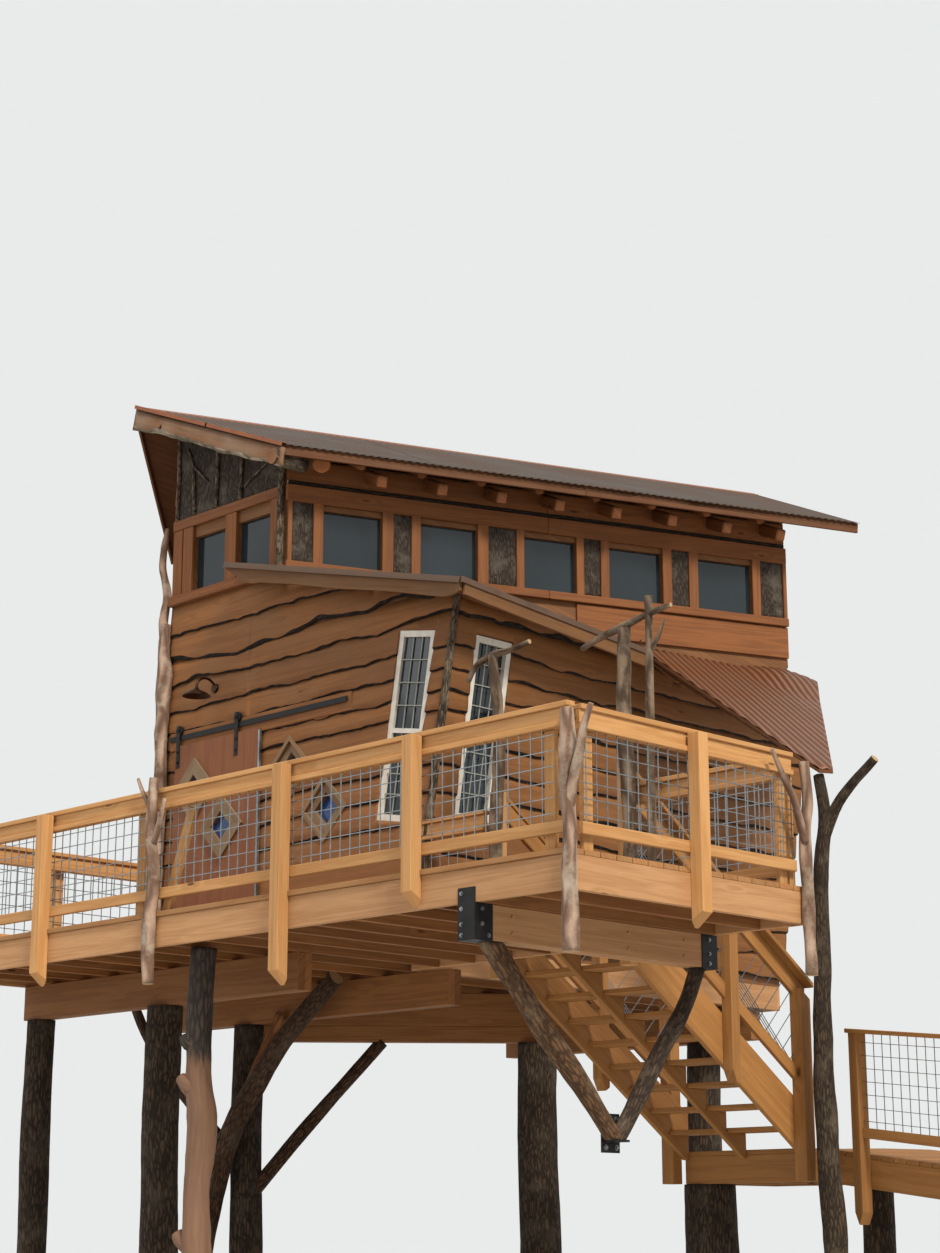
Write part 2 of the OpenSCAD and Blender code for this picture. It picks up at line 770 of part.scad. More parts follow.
panel_x = wall_left_x + 180;
panel_gap = 30;
panel_y = wall_y - panel_gap - panel_t;
panel_low = 25;
panel_top = 2060;
track_z = 2110;
door_diamonds = [[panel_x + 310, 1610], [panel_x + 720, 1220]];

module door_panel() {
    color("#9c5a3a") {
        difference() {
            block([panel_x, panel_y, panel_low], [panel_x + panel_w, panel_y + panel_t, panel_top]);
            for (p = door_diamonds) diamond_cut(p, diamond_pane);
        }
        for (p = door_diamonds) diamond_ring(p, diamond, diamond_pane, panel_y - 25, panel_y);
    }
}

hanger_x = [panel_x + 20, panel_x + panel_w - 330];
wheel_r = 45;
module door_hangers() {
    color("#1f1f22") for (x = hanger_x) {
        block([x, panel_y - 8, panel_top - 210], [x + 45, panel_y, track_z + 50 + 2 * wheel_r]);
        translate([x + 22.5, panel_y, track_z + 50 + seat + wheel_r]) rotate([-90, 0, 0])
            cylinder(r = wheel_r, h = 24);
    }
}

module door_glass() {
    color("#7c9bb0", 0.4) for (p = door_diamonds)
        translate([p.x, panel_y + panel_t / 2, p.y]) rotate([0, 45, 0])
            cube([diamond_pane, pane_t, diamond_pane], center = true);
}

track_right = wall_left_x + 2550;
module door_track() {
    color("#1b1b1e") {
        block([wall_left_x + 80, panel_y + 8, track_z], [track_right, panel_y + 16, track_z + 50]);
        for (x = [wall_left_x + 200:540:track_right - 60])
            translate([x, panel_y + 16, track_z + 25]) rotate([-90, 0, 0])
                cylinder(d = 24, h = wall_y - panel_y - 16);
    }
}

module barn_lamp() {
    at = [door_left + 580, wall_y, 2560];
    color("#7a4a2e") {
        translate([at.x, at.y - 20, at.z]) rotate([-90, 0, 0]) cylinder(d = 90, h = 20);
        limb([[at.x, at.y - 15, at.z], [at.x, at.y - 150, at.z + 90], [at.x - 60, at.y - 260, at.z + 60],
            [at.x - 100, at.y - 290, at.z - 40]],
            [12, 12, 12, 12], [1, 0, 0], 8);
        translate([at.x - 100, at.y - 290, at.z - 150]) cylinder(r1 = 150, r2 = 40, h = 110);
    }
}

/* Railing */

cap_t = 35;
cap_w = 140;
rail_t = 38;
rail_d = 89;
low_rail = [100, 180];
mesh_top = rail_h - cap_t - rail_d - rail_t;
// The front posts with the height of each foot, and the post at the right
front_posts = [[-1380, -250], [-2730, -660], [wall_left_x + 1680, -450], [wall_left_x + 50, -450]];
right_post_y = deck_depth / 2 + 10;
mesh_split = wall_right_x - 280;

// One run of the railing along +X: cap, upper rail, flat rail and low rail
module rail_run(length) {
    block([0, 0, rail_h - cap_t], [length, cap_w - 60, rail_h]);
    block([0, 0, rail_h - cap_t - rail_d], [length, rail_t, rail_h - cap_t]);
    block([0, 0, mesh_top], [length, rail_d - 20, mesh_top + rail_t]);
    block([0, 0, low_rail[0]], [length, rail_t, low_rail[1]]);
}

module mesh_run(length, height) {
    for (x = [mesh_pitch / 2:mesh_pitch:length]) block([x - wire / 2, 0, 0], [x + wire / 2, wire, height]);
    for (z = [mesh_pitch / 2:mesh_pitch:height]) block([0, 0, z - wire / 2], [length, wire, z + wire / 2]);
}

// A sawn post with a pointed foot that hangs beside the rim
module hanging_post(x, y, foot) {
    s = post_s;
    color("#d7a86e") translate([x, y, 0]) rotate([90, 0, 90]) linear_extrude(s)
        polygon([[0, foot + s], [s, foot], [s, rail_h - cap_t], [0, rail_h - cap_t]]);
}

module railing_posts() {
    for (p = front_posts) hanging_post(p.x - post_s / 2, -post_s, p.y);
    color("#d7a86e") {
        block([0, right_post_y - post_s / 2, -400], [post_s, right_post_y + post_s / 2, rail_h - cap_t]);
        block([wall_left_x - post_s, deck_depth / 2, -400],
            [wall_left_x, deck_depth / 2 + post_s, rail_h - cap_t]);
        block([stair_right, deck_depth, -400], [stair_right + post_s, deck_depth + post_s, rail_h + 150]);
        block([stair_left - post_s, deck_depth, -400], [stair_left, deck_depth + post_s, rail_h + 150]);
    }
}

module railing_rails() {
    color("#d9ac72") {
        translate([wall_left_x, 0, 0]) rail_run(deck_len);
        translate([0, cap_w, 0]) rotate([0, 0, 90]) rail_run(deck_depth - cap_w - 100);
        translate([wall_left_x, wall_y - 160, 0]) rotate([0, 0, -90]) rail_run(wall_y - 160 - cap_w);
        translate([stair_right + post_s, deck_depth, 0]) mirror([0, 1, 0])
            rail_run(-stair_right - post_s - cap_w);
        translate([wall_right_x + 60, deck_depth, 0]) mirror([0, 1, 0])
            rail_run(stair_left - post_s - wall_right_x - 60);
    }
}

mesh_h = mesh_top - low_rail[1];
module front_mesh_right() {
    color("#b9bcc0") translate([mesh_split, 16, low_rail[1]]) mesh_run(-mesh_split - cap_w, mesh_h);
}

module front_mesh_left() {
    color("#b9bcc0") translate([wall_left_x + 60, 16, low_rail[1]])
        mesh_run(mesh_split - wall_left_x - 80, mesh_h);
}

module right_mesh() {
    color("#b9bcc0") translate([-16, cap_w, low_rail[1]]) rotate([0, 0, 90])
        mesh_run(deck_depth - cap_w - 100, mesh_h);
}

module side_mesh() {
    color("#b9bcc0") {
        translate([wall_left_x + 16, wall_y - 160, low_rail[1]]) rotate([0, 0, -90])
            mesh_run(wall_y - 160 - cap_w, mesh_h);
        translate([stair_right + post_s, deck_depth - 22, low_rail[1]])
            mesh_run(-stair_right - post_s - cap_w, mesh_h);
        translate([wall_right_x + 60, deck_depth - 22, low_rail[1]])
            mesh_run(stair_left - post_s - wall_right_x - 60, mesh_h);
    }
}

/* Natural posts on the balcony */

module balcony_logs() {
    color("#a1866a") difference() {
        union() {
            limb([[30, -30, -620], [25, -25, -200], [30, -30, 300], [25, -30, 880]], [60, 62, 56, 48]);
            limb([[30, -30, 420], [150, -60, 700], [190, -60, 960]], [44, 36, 30]);
            limb([[mesh_split - 50, -45, -520], [mesh_split - 20, -45, 0], [mesh_split - 60, -45, 500],
                [mesh_split - 30, -45, 1060]], [58, 60, 50, 45]);
            limb([[45, deck_depth - 50, -640], [50, deck_depth - 50, -100], [45, deck_depth - 50, 500],
                [45, deck_depth - 50, 900]], [60, 58, 55, 52]);
        }
        block([-far, -seat, -far], [seat, far, far]);
    }
}

module porch_logs() {
    y = deck_depth - 140;
    a = stair_right + 230;
    b = stair_right + 455;
    c = stair_left + 60;
    color("#8d7a66") difference() {
        union() {
            limb([[a, y, -60], [a + 15, y, 700], [a - 15, y, 1400], [a, y, 2140]], [48, 46, 44, 40]);
            limb([[b, y, -60], [b + 10, y, 1200], [b + 20, y, 2340]], [36, 34, 28]);
            limb([[b + 220, y, 2230], [b + 20, y, 2200], [a, y, 2150], [a - 440, y, 2045]],
                [20, 26, 30, 22]);
            limb([[c, y + 60, -60], [c - 10, y + 60, 800], [c + 30, y + 60, 1500],
                [c - 40, y + 60, 2190]], [62, 58, 54, 44]);
            limb([[c - 320, y + 60, 2020], [c - 235, y + 60, 2130], [c - 50, y + 60, 2200],
                [c + 370, y + 60, 2235]], [20, 26, 30, 20]);
        }
        block([-far, -far, -far], [far, far, 0]);
    }
}

/* Stair */

stringer_t = 45;
stair_run = going * (risers - 1);
slope = riser / going;
// The outer stringers reach this far over and under the line of the treads' edges
stringer_up = 140;
stringer_down = 260;
module stair_stringers() {
    lowest = riser - stair_drop - stringer_down + 25;
    outer = [[0, -board_t], [(stringer_up + board_t) / slope, -board_t],
        [stair_run, stringer_up - stair_run * slope],
        [stair_run, lowest], [(-lowest - stringer_down) / slope, lowest], [0, -stringer_down]];
    steps = [for (i = [0:risers - 2]) each [[i * going, -(i + 1) * riser - tread_t],
        [(i + 1) * going, -(i + 1) * riser - tread_t]]];
    inner = concat(steps, [[stair_run, lowest], [(-lowest - stringer_down) / slope, lowest],
        [0, -stringer_down]]);
    color("#b98650") translate([0, deck_depth, 0]) {
        for (x = [stair_left, stair_right - stringer_t]) side_panel(outer, x, stringer_t);
        side_panel(inner, (stair_left + stair_right - stringer_t) / 2, stringer_t);
    }
}

module stair_treads() {
    color("#c8965c") for (i = [0:risers - 2])
        block([stair_left + stringer_t, deck_depth + i * going + 2, -(i + 1) * riser - tread_t],
            [stair_right - stringer_t, deck_depth + (i + 1) * going - 4, -(i + 1) * riser]);
}

// Heights over the line of the treads' edges of the handrail's top and foot and of the middle rail's
stair_rail = [1130, 930];
stair_mid = [370, 250];
stair_post = 0.56 * stair_run;
landing_post = 120;
// A sloping rail beside the stair, between two distances from the deck
module stair_rail_run(x, t, from, to, heights) {
    side_panel([[from, heights[1] - from * slope], [to, heights[1] - to * slope],
        [to, heights[0] - to * slope], [from, heights[0] - from * slope]], x, t);
}

module stair_railing() {
    last = stair_run - landing_post - 40;
    color("#c08d55") translate([0, deck_depth, 0]) for (side = [0, 1]) {
        post_x = side == 0 ? stair_right : stair_left - landing_post;
        rail_x = side == 0 ? stair_right + 5 : stair_left - 5 - rail_t;
        tip = -stair_post * slope;
        top = stair_rail[1] + 20;
        foot = -stair_drop - board_t - joist_d;
        side_panel([[stair_post - 50, tip - 270], [stair_post + 50, tip - 370],
            [stair_post + 50, tip + top - 50 * slope],
            [stair_post - 50, tip + top + 50 * slope]], post_x + (side == 0 ? 0 : landing_post - post_s),
                post_s);
        side_panel([[last, foot], [last + landing_post, foot],
            [last + landing_post, top - (last + landing_post) * slope],
            [last, top - last * slope]], post_x, landing_post);
        stair_rail_run(post_x, landing_post, post_s, stair_run, stair_rail);
        for (span = [[post_s, stair_post - 50], [stair_post + 50, last]])
            stair_rail_run(rail_x, rail_t, span[0], span[1], stair_mid);
    }
}

/* Landing and ramp */

module landing() {
    top = -stair_drop;
    color("#c08a55") {
        block([stair_left, landing_y, top - board_t], [stair_right, landing_y + landing_d, top]);
        difference() {
            block([stair_left, landing_y, top - board_t - joist_d],
                [stair_right, landing_y + landing_d, top - board_t]);
            block([stair_left + joist_t, landing_y + joist_t, -far],
                [stair_right - joist_t, landing_y + landing_d - joist_t, top - board_t]);
        }
        for (i = [1, 2]) block([stair_left + i * 400 - 20, landing_y + joist_t, top - board_t - joist_d],
            [stair_left + i * 400 + 20, landing_y + landing_d - joist_t, top - board_t]);
    }
}

module landing_logs() {
    top = -stair_drop - board_t - joist_d;
    color("#54463b") {
        standing_log([stair_left + 110, landing_y + 190], top, 215);
        standing_log([stair_right - 110, landing_y + landing_d - 110], top, 130);
    }
}

ramp_shift = 260;
module on_ramp() {
    translate([stair_right, landing_y + ramp_shift, -stair_drop]) rotate([0, 0, -ramp_turn])
        rotate([0, ramp_slope, 0]) children();
}

module past_landing() {
    block([stair_right + seat, -far, -far], [far, far, far]);
}

module ramp_deck() {
    color("#bb8752") intersection() {
        on_ramp() {
            rows = floor((ramp_len + 350) / (board_w + board_gap));
            for (i = [0:rows - 1]) block([ramp_len - (i + 1) * (board_w + board_gap), 0, -board_t],
                [ramp_len - i * (board_w + board_gap) - board_gap, stair_w, 0]);
            for (y = [0, (stair_w - joist_t) / 2, stair_w - joist_t])
                block([-350, y, -board_t - joist_d], [ramp_len, y + joist_t, -board_t]);
        }
        past_landing();
    }
}

function ramp_at(s, y) = let (c = cos(ramp_slope) * s) [stair_right + c * cos(ramp_turn) + y * sin(ramp_turn),
    landing_y + ramp_shift - c * sin(ramp_turn) + y * cos(ramp_turn), -stair_drop - s * sin(ramp_slope)];

module ramp_legs() {
    color("#5c4c3f") difference() {
        for (y = [joist_t / 2, stair_w - joist_t / 2]) let (p = ramp_at(ramp_len - 250, y))
            translate([p.x, p.y, -deck_h]) cylinder(d = 130, h = p.z + deck_h);
        on_ramp() block([-far, -far, -board_t - joist_d - seat], [far, far, far]);
    }
}

// The ramp's railing stands plumb beside it: its posts, and its heights over the boards
ramp_posts = [450, 1800, 3150];
ramp_lift = 25;
ramp_cap = [rail_h + ramp_lift - cap_t, rail_h + ramp_lift];
ramp_low = [low_rail[0] + ramp_lift, low_rail[1] + ramp_lift];
function ramp_z(s, h) = [s, h - s * tan(ramp_slope)];

// A rail or a wire that follows the slope between two distances along the ramp
module ramp_rail(y, t, from, to, low, high) {
    front_panel([ramp_z(from, low), ramp_z(to, low), ramp_z(to, high), ramp_z(from, high)], y, t);
}

module ramp_mesh(y, from, to) {
    low = ramp_low[1];
    high = ramp_cap[0];
    for (s = [from + mesh_pitch / 2:mesh_pitch:to]) {
        block([s - wire / 2, y, ramp_z(s, low - 2).y], [s + wire / 2, y + wire, ramp_z(s, high + 2).y]);
    }
    for (h = [low + mesh_pitch / 2:mesh_pitch:high - wire])
        ramp_rail(y, wire, from - 1, to + 1, h - wire / 2, h + wire / 2);
}

module ramp_post(s, y) {
    foot = -board_t - joist_d - 277;
    e = s + post_s;
    front_panel([ramp_z(s, foot + 100), ramp_z(s + post_s / 2, foot), ramp_z(e, foot + 100),
        ramp_z(e, ramp_cap[0] + 5), ramp_z(s, ramp_cap[0] + 5)], y, post_s);
}

module ramp_railing() {
    color("#bd8a52") translate([stair_right, landing_y + ramp_shift, -stair_drop])
        rotate([0, 0, -ramp_turn])
        for (y = [-post_s, stair_w]) {
            for (s = ramp_posts) ramp_post(s, y);
            ramp_rail(y - 20, post_s + 40, ramp_posts[0], ramp_posts[2] + post_s, ramp_cap[0], ramp_cap[1]);
            for (i = [0, 1]) {
                from = ramp_posts[i] + post_s;
                to = ramp_posts[i + 1];
                ramp_rail(y + 30, rail_t, from - 1, to + 1, ramp_low[0], ramp_low[1]);
                ramp_mesh(y + 46, from, to);
            }
        }
}

site() front_log();
site() house_logs();
site() log_braces();
site() girders();
site() main_beam();
site() beam_brackets();
site() knee_braces();
site() tree_bracket();
site() deck_joists();
site() deck_rim();
site() deck_boards();
site() cabin_floor();
site() wall_front_left();
site() wall_over_door();
site() wall_front_right();
site() wall_right();
site() wall_left();
site() wall_back();
site() upper_front_wall();
site() upper_long_wall();
site() tall_window_frames();
site() tall_window_glass();
site() clerestory_frames();
site() clerestory_glass();
site() diamond_frames();
site() diamond_glass();
site() corner_post();
site() main_roof_low();
site() main_roof_steep();
site() ridge_cap();
site() rafters();
site() main_fascia();
site() shed_roof();
site() shed_fascia();
site() lean_to_roof();
site() forked_post();
site() door_panel();
site() door_hangers();
site() door_glass();
site() door_track();
site() barn_lamp();
site() railing_posts();
site() railing_rails();
site() front_mesh_right();
site() front_mesh_left();
site() right_mesh();
site() side_mesh();
site() balcony_logs();
site() porch_logs();
site() stair_stringers();
site() stair_treads();
site() stair_railing();
site() landing();
site() landing_logs();
site() ramp_deck();
site() ramp_legs();
site() ramp_railing();
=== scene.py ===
"""A tree house: a timber cabin on logs with a balcony, a stair, a landing and a ramp."""
import bpy
import bmesh
import math
import random
from mathutils import Matrix, Vector, noise
from mathutils.bvhtree import BVHTree


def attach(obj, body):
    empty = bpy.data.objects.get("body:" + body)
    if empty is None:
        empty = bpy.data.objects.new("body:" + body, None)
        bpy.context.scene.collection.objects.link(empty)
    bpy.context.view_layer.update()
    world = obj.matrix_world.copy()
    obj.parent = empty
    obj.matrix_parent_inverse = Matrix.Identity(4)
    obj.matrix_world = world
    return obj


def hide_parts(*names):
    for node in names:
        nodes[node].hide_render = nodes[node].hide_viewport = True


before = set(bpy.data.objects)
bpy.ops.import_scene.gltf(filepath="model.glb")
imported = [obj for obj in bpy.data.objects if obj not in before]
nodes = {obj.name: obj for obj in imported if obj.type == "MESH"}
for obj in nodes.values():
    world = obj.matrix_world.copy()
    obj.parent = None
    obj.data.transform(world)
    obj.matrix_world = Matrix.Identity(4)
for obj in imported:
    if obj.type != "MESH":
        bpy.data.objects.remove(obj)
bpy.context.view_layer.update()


# The place it stands: a plain pale floor and soft studio light, seen from low down, off the
# balcony's right corner.
def paint(code):
    """A colour from its six hexadecimal digits."""
    parts = [int(code[i:i + 2], 16) / 255 for i in (0, 2, 4)]
    return tuple(p / 12.92 if p <= 0.04045 else ((p + 0.055) / 1.055) ** 2.4 for p in parts) + (1.0,)


def feed(tree, socket, value):
    """Sets a socket to a value, or links it to the node or output that feeds it."""
    if isinstance(value, bpy.types.Node):
        value = value.outputs[0]
    if isinstance(value, bpy.types.NodeSocket):
        tree.links.new(value, socket)
    else:
        socket.default_value = value


def add(tree, kind, sockets=None, **settings):
    """Puts one node in a tree, with its settings and what its sockets take."""
    made = tree.nodes.new("ShaderNode" + kind)
    for key, value in settings.items():
        setattr(made, key, value)
    for key, value in (sockets or {}).items():
        feed(tree, made.inputs[key], value)
    return made


def maths(tree, operation, *values, kind="Math"):
    return add(tree, kind, dict(enumerate(values)), operation=operation)


def put(name, data):
    """Puts an object in the scene."""
    made = bpy.data.objects.new(name, data)
    bpy.context.collection.objects.link(made)
    return made


camera = put("camera", bpy.data.cameras.new("camera"))
bpy.context.scene.camera = camera
camera.data.sensor_fit = "VERTICAL"
film = camera.data.sensor_width = camera.data.sensor_height = 36.0
focal, picture_height, tilt, heading = 2295, 1253, 14.93, 45.1
camera.data.lens = focal / picture_height * film
camera.data.clip_end = 300
camera.location = (13.638, -10.774, 1.632)
camera.rotation_euler = (math.radians(90 + tilt), 0, math.radians(heading))

for name, energy, spread, colour, tilt, heading in (("key", 3.7, 14, (1.0, 0.95, 0.86), 47, 72),
                                                    ("fill", 0.75, 60, (1.0, 1.0, 1.0), 60, -20)):
    shine = put(name, bpy.data.lights.new(name, "SUN"))
    shine.data.energy, shine.data.angle, shine.data.color = energy, math.radians(spread), colour
    shine.rotation_euler = (math.radians(tilt), 0, math.radians(heading))

world = bpy.data.worlds.new("studio")
bpy.context.scene.world = world
world.use_nodes = True
studio = world.node_tree
studio.nodes.clear()
seen = add(studio, "LightPath")
straight = maths(studio, "MAXIMUM", seen.outputs["Is Camera Ray"], seen.outputs["Is Glossy Ray"])
straight = maths(studio, "MAXIMUM", straight, seen.outputs["Is Transmission Ray"])
room = add(studio, "Background", {"Color": (0.9, 0.93, 1.0, 1), "Strength": 0.46})
backdrop = add(studio, "Background", {"Color": paint("e9ebea"), "Strength": 1.0})
add(studio, "OutputWorld", {"Surface": add(studio, "MixShader", {0: straight, 1: room, 2: backdrop})})

square = bmesh.new()
bmesh.ops.create_grid(square, x_segments=1, y_segments=1, size=60)
floor_mesh = bpy.data.meshes.new("floor")
square.to_mesh(floor_mesh)
square.free()
floor = put("floor", floor_mesh)


def new_finish(name, **plain):
    """A material with one Principled shader, whose plain values are set on its own sockets."""
    made = bpy.data.materials.new(name)
    made.use_nodes = True
    shader = made.node_tree.nodes["Principled BSDF"]
    dress(made.node_tree, shader, **plain)
    return made, made.node_tree, shader


def dress(tree, shader, **sockets):
    for key, value in sockets.items():
        feed(tree, shader.inputs[key.replace("_", " ")], value)


floor_mesh.materials.append(new_finish("pale floor", Base_Color=paint("d9d8d4"), Roughness=0.9)[0])
bpy.context.scene.view_settings.view_transform = "Standard"


# The logs under the house: round trunks with their bark on, stood on level feet. Each has a
# slight sweep and a rough, furrowed skin; the girders rest on their sawn tops.
deck = Vector((4.0, -0.3, 4.0))
foot_z = -deck.z
chance = random.Random(11)
X, Y, Z = Vector((1, 0, 0)), Vector((0, 1, 0)), Vector((0, 0, 1))


def effect(name, takes, gives):
    """An empty node group for an effect that several finishes share. An input without a value is a vector."""
    group = bpy.data.node_groups.new(name, "ShaderNodeTree")
    for label, value in takes.items():
        kind = "NodeSocketVector" if value is None else "NodeSocketFloat"
        socket = group.interface.new_socket(label, in_out="INPUT", socket_type=kind)
        if value is not None:
            socket.default_value = value
    for label in gives:
        group.interface.new_socket(label, in_out="OUTPUT", socket_type="NodeSocketFloat")
    return group, group.nodes.new("NodeGroupInput"), group.nodes.new("NodeGroupOutput")


def stretch(tree, vector, *factors):
    return maths(tree, "MULTIPLY", vector, factors, kind="VectorMath")


def cloud(tree, vector, scale, detail, rough=0.5):
    return add(tree, "TexNoise", {"Vector": vector, "Scale": scale, "Detail": detail, "Roughness": rough})


def ranged(tree, value, low, high, to_low=0.0, to_high=1.0, **settings):
    sockets = {"Value": value, "From Min": low, "From Max": high, "To Min": to_low, "To Max": to_high}
    return add(tree, "MapRange", sockets, **settings)


def bumped(tree, height, distance, strength):
    return add(tree, "Bump", {"Height": height, "Distance": distance, "Strength": strength})


rind, given, result = effect("bark skin", {"Along": None, "Furrow": 26.0}, ("Ridge", "Patch", "Height"))
along = given.outputs["Along"]
stretched = stretch(rind, along, 0.26, 1.0, 1.0)
bend = cloud(rind, along, 8.0, 4.0)
swayed = maths(rind, "MULTIPLY_ADD", bend.outputs["Color"], (0.04, 0.05, 0.0), stretched, kind="VectorMath")
plates = add(rind, "TexVoronoi", {"Vector": swayed, "Scale": given.outputs["Furrow"]}, feature="DISTANCE_TO_EDGE")
crack = ranged(rind, plates, 0.0, 0.34, interpolation_type="SMOOTHSTEP")
crumb = cloud(rind, stretched, 85.0, 6.0, 0.7)
feed(rind, result.inputs["Ridge"], maths(rind, "MULTIPLY", crack, crumb))
feed(rind, result.inputs["Patch"], ranged(rind, cloud(rind, along, 3.4, 6.0, 0.7), 0.5, 0.64))
feed(rind, result.inputs["Height"], maths(rind, "MULTIPLY_ADD", crumb, 0.5, crack))


def mix_colour(tree, factor, low, high, blend="MIX"):
    """Mixes two colours, each a code or an output."""
    low, high = (paint(value) if isinstance(value, str) else value for value in (low, high))
    return add(tree, "Mix", {0: factor, 6: low, 7: high}, data_type="RGBA", blend_type=blend).outputs[2]


def grain_map(tree):
    return add(tree, "UVMap", uv_map="grain").outputs[0]


def object_place(tree):
    return add(tree, "TexCoord").outputs["Object"]


def bark(name, furrow_colour, plate_colour, lichen, furrow=26.0, depth=0.008, patches=0.4):
    """Furrowed bark on the piece's own map, with paler lichen on it."""
    made, tree, shader = new_finish(name, Specular_IOR_Level=0.3)
    skin = add(tree, "Group", {"Along": grain_map(tree), "Furrow": furrow}, node_tree=rind)
    colour = mix_colour(tree, ranged(tree, skin.outputs["Ridge"], 0.0, 0.6), furrow_colour, plate_colour)
    amount = maths(tree, "MULTIPLY", skin.outputs["Patch"], patches)
    dress(tree, shader, Base_Color=mix_colour(tree, amount, colour, lichen),
          Roughness=ranged(tree, skin.outputs["Ridge"], 0.0, 1.0, 0.95, 0.78),
          Normal=bumped(tree, skin.outputs["Height"], depth, 0.7))
    return made


def swept(path, radii, step):
    """A smooth run of points and radii through the given ones."""
    points = [Vector(p) for p in path]
    run = []
    for i in range(len(points) - 1):
        a, b = points[max(i - 1, 0)], points[i]
        c, d = points[i + 1], points[min(i + 2, len(points) - 1)]
        count = max(2, round((c - b).length / step))
        for j in range(count):
            t = j / count
            spot = 0.5 * (2 * b + (c - a) * t + (2 * a - 5 * b + 4 * c - d) * t * t + (3 * b - a - 3 * c + d) * t ** 3)
            run.append((spot, radii[i] + (radii[i + 1] - radii[i]) * t))
    run.append((points[-1], radii[-1]))
    return run


def limb(bm, path, radii, sides=20, step=0.09, rough=0.06, lumps=1.3):
    """Grows a natural limb along a path by drawing a ring out, station by station."""
    run = swept(path, radii, step)
    first = len(bm.verts)
    shift = chance.random() * 40
    bmesh.ops.create_circle(bm, cap_ends=True, cap_tris=False, radius=1.0, segments=sides)
    grain = bm.loops.layers.uv.verify()
    rank = bm.verts.layers.int.get("rank") or bm.verts.layers.int.new("rank")
    row = bm.verts.layers.float.get("row") or bm.verts.layers.float.new("row")
    bm.verts.ensure_lookup_table()
    ring = bm.verts[first:]
    faces = list(dict.fromkeys(f for v in ring for f in v.link_faces))
    edges = list(dict.fromkeys(e for v in ring for e in v.link_edges))
    side = Vector((0.3, 1.0, 0.2))
    length = 0.0
    for i, (point, radius) in enumerate(run):
        ahead = (run[min(i + 1, len(run) - 1)][0] - run[max(i - 1, 0)][0]).normalized()
        across = ahead.cross(side).normalized()
        side = across.cross(ahead).normalized()
        if i:
            grown = bmesh.ops.extrude_edge_only(bm, edges=edges)["geom"]
            fresh = {g for g in grown if isinstance(g, bmesh.types.BMVert)}
            edges = [g for g in grown if isinstance(g, bmesh.types.BMEdge) and fresh.issuperset(g.verts)]
            faces += [g for g in grown if isinstance(g, bmesh.types.BMFace)]
            ring = [None] * sides
            for v in fresh:
                old = next(e.other_vert(v) for e in v.link_edges if e.other_vert(v) not in fresh)
                ring[old[rank]] = v
            length += (point - run[i - 1][0]).length
        for k, v in enumerate(ring):
            v[rank], v[row] = k, length
            turn = 2 * math.pi * k / sides
            away = math.cos(turn) * across + math.sin(turn) * side
            swell = noise.noise(point * lumps + away * 0.8 + Vector((shift, 0, 0))) * 1.6
            fine = noise.noise(point * 9 + away * 2.2 + Vector((0, shift, 0)))
            v.co = point + away * radius * (1 + rough * (swell + 0.5 * fine))
    faces += bmesh.ops.contextual_create(bm, geom=ring)["faces"]
    girth = 2 * math.pi * max(radii)
    for face in faces:
        if not face.is_valid:
            continue
        ranks = [corner.vert[rank] for corner in face.loops]
        on_side = len(ranks) == 4
        wraps = on_side and 0 in ranks and sides - 1 in ranks
        face.smooth, face.material_index = on_side, 0 if on_side else 1
        centre = face.calc_center_median()
        for corner in face.loops:
            k = corner.vert[rank]
            off = corner.vert.co - centre
            spot = (off.x + off.z * 0.6, off.y + off.z * 0.5)
            if on_side:
                spot = (corner.vert[row], (sides if wraps and k == 0 else k) / sides * girth)
            corner[grain].uv = (spot[0] + shift, spot[1] + shift)


def limbs(bm, *rows):
    """Grows several limbs, each from its path, radii, sides, step, roughness and lumps."""
    for row in rows:
        limb(bm, *row)


def upright(y, *spots, x=0.0):
    """A path that stays in one upright plane, from its x and z values."""
    return [(x + way, y, z) for way, z in spots]


def settle(bm, name, finishes, slot, *stands_for, body="house", shape=None, facing=None):
    """Makes the piece, sets it on the deck's corner in the model's frame and ties it to its body."""
    bmesh.ops.recalc_face_normals(bm, faces=bm.faces)
    if facing is not None:
        bmesh.ops.reverse_faces(bm, faces=[f for f in bm.faces if f.normal.dot(facing) < 0])
    for v in bm.verts:
        v.co.z = max(v.co.z, foot_z)
    bmesh.ops.translate(bm, verts=bm.verts, vec=deck)
    mesh = bpy.data.meshes.new(name)
    bm.to_mesh(mesh)
    bm.free()
    if mesh.uv_layers:
        mesh.uv_layers[0].name = "grain"
    for made in finishes:
        mesh.materials.append(made)
    piece = put(name, mesh)
    for kind, settings in shape or ():
        modifier = piece.modifiers.new(kind.lower(), kind)
        for key, value in settings.items():
            setattr(modifier, key, value)
    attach(piece, body)
    if stands_for:
        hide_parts(*stands_for)


sawn_end, tree, shader = new_finish("sawn log end", Roughness=0.85)
dress(tree, shader, Base_Color=mix_colour(tree, cloud(tree, grain_map(tree), 24.0, 4.0), "c2a57c", "84603f"))
dark_bark = bark("dark log bark", "1f1710", "4d3b2a", "5b5244", furrow=36.0, depth=0.006, patches=0.35)
brace_bark = bark("brace bark", "281a10", "5c4028", "695c4d", furrow=42.0, depth=0.004, patches=0.3)
girder_low = -0.553
logs = bmesh.new()
for x, y, r in ((-5.365, 1.0, 0.145), (-7.1, 1.0, 0.12), (-6.23, 2.6, 0.135), (-6.9, 6.97, 0.16), (-4.67, 6.97, 0.16)):
    limb(logs, upright(y, (0, foot_z), (0.02, -2.7), (-0.015, -1.5), (0, girder_low), x=x),
         [r * 1.13, r * 1.06, r * 1.02, r], 28, 0.09, 0.04, 1.8)
limb(logs, upright(4.5, (-4.54, foot_z), (-4.52, -2.5), (-4.55, -1.5), (-4.54, -0.695)),
     [0.19, 0.182, 0.175, 0.17], 28, 0.09, 0.04, 1.8)
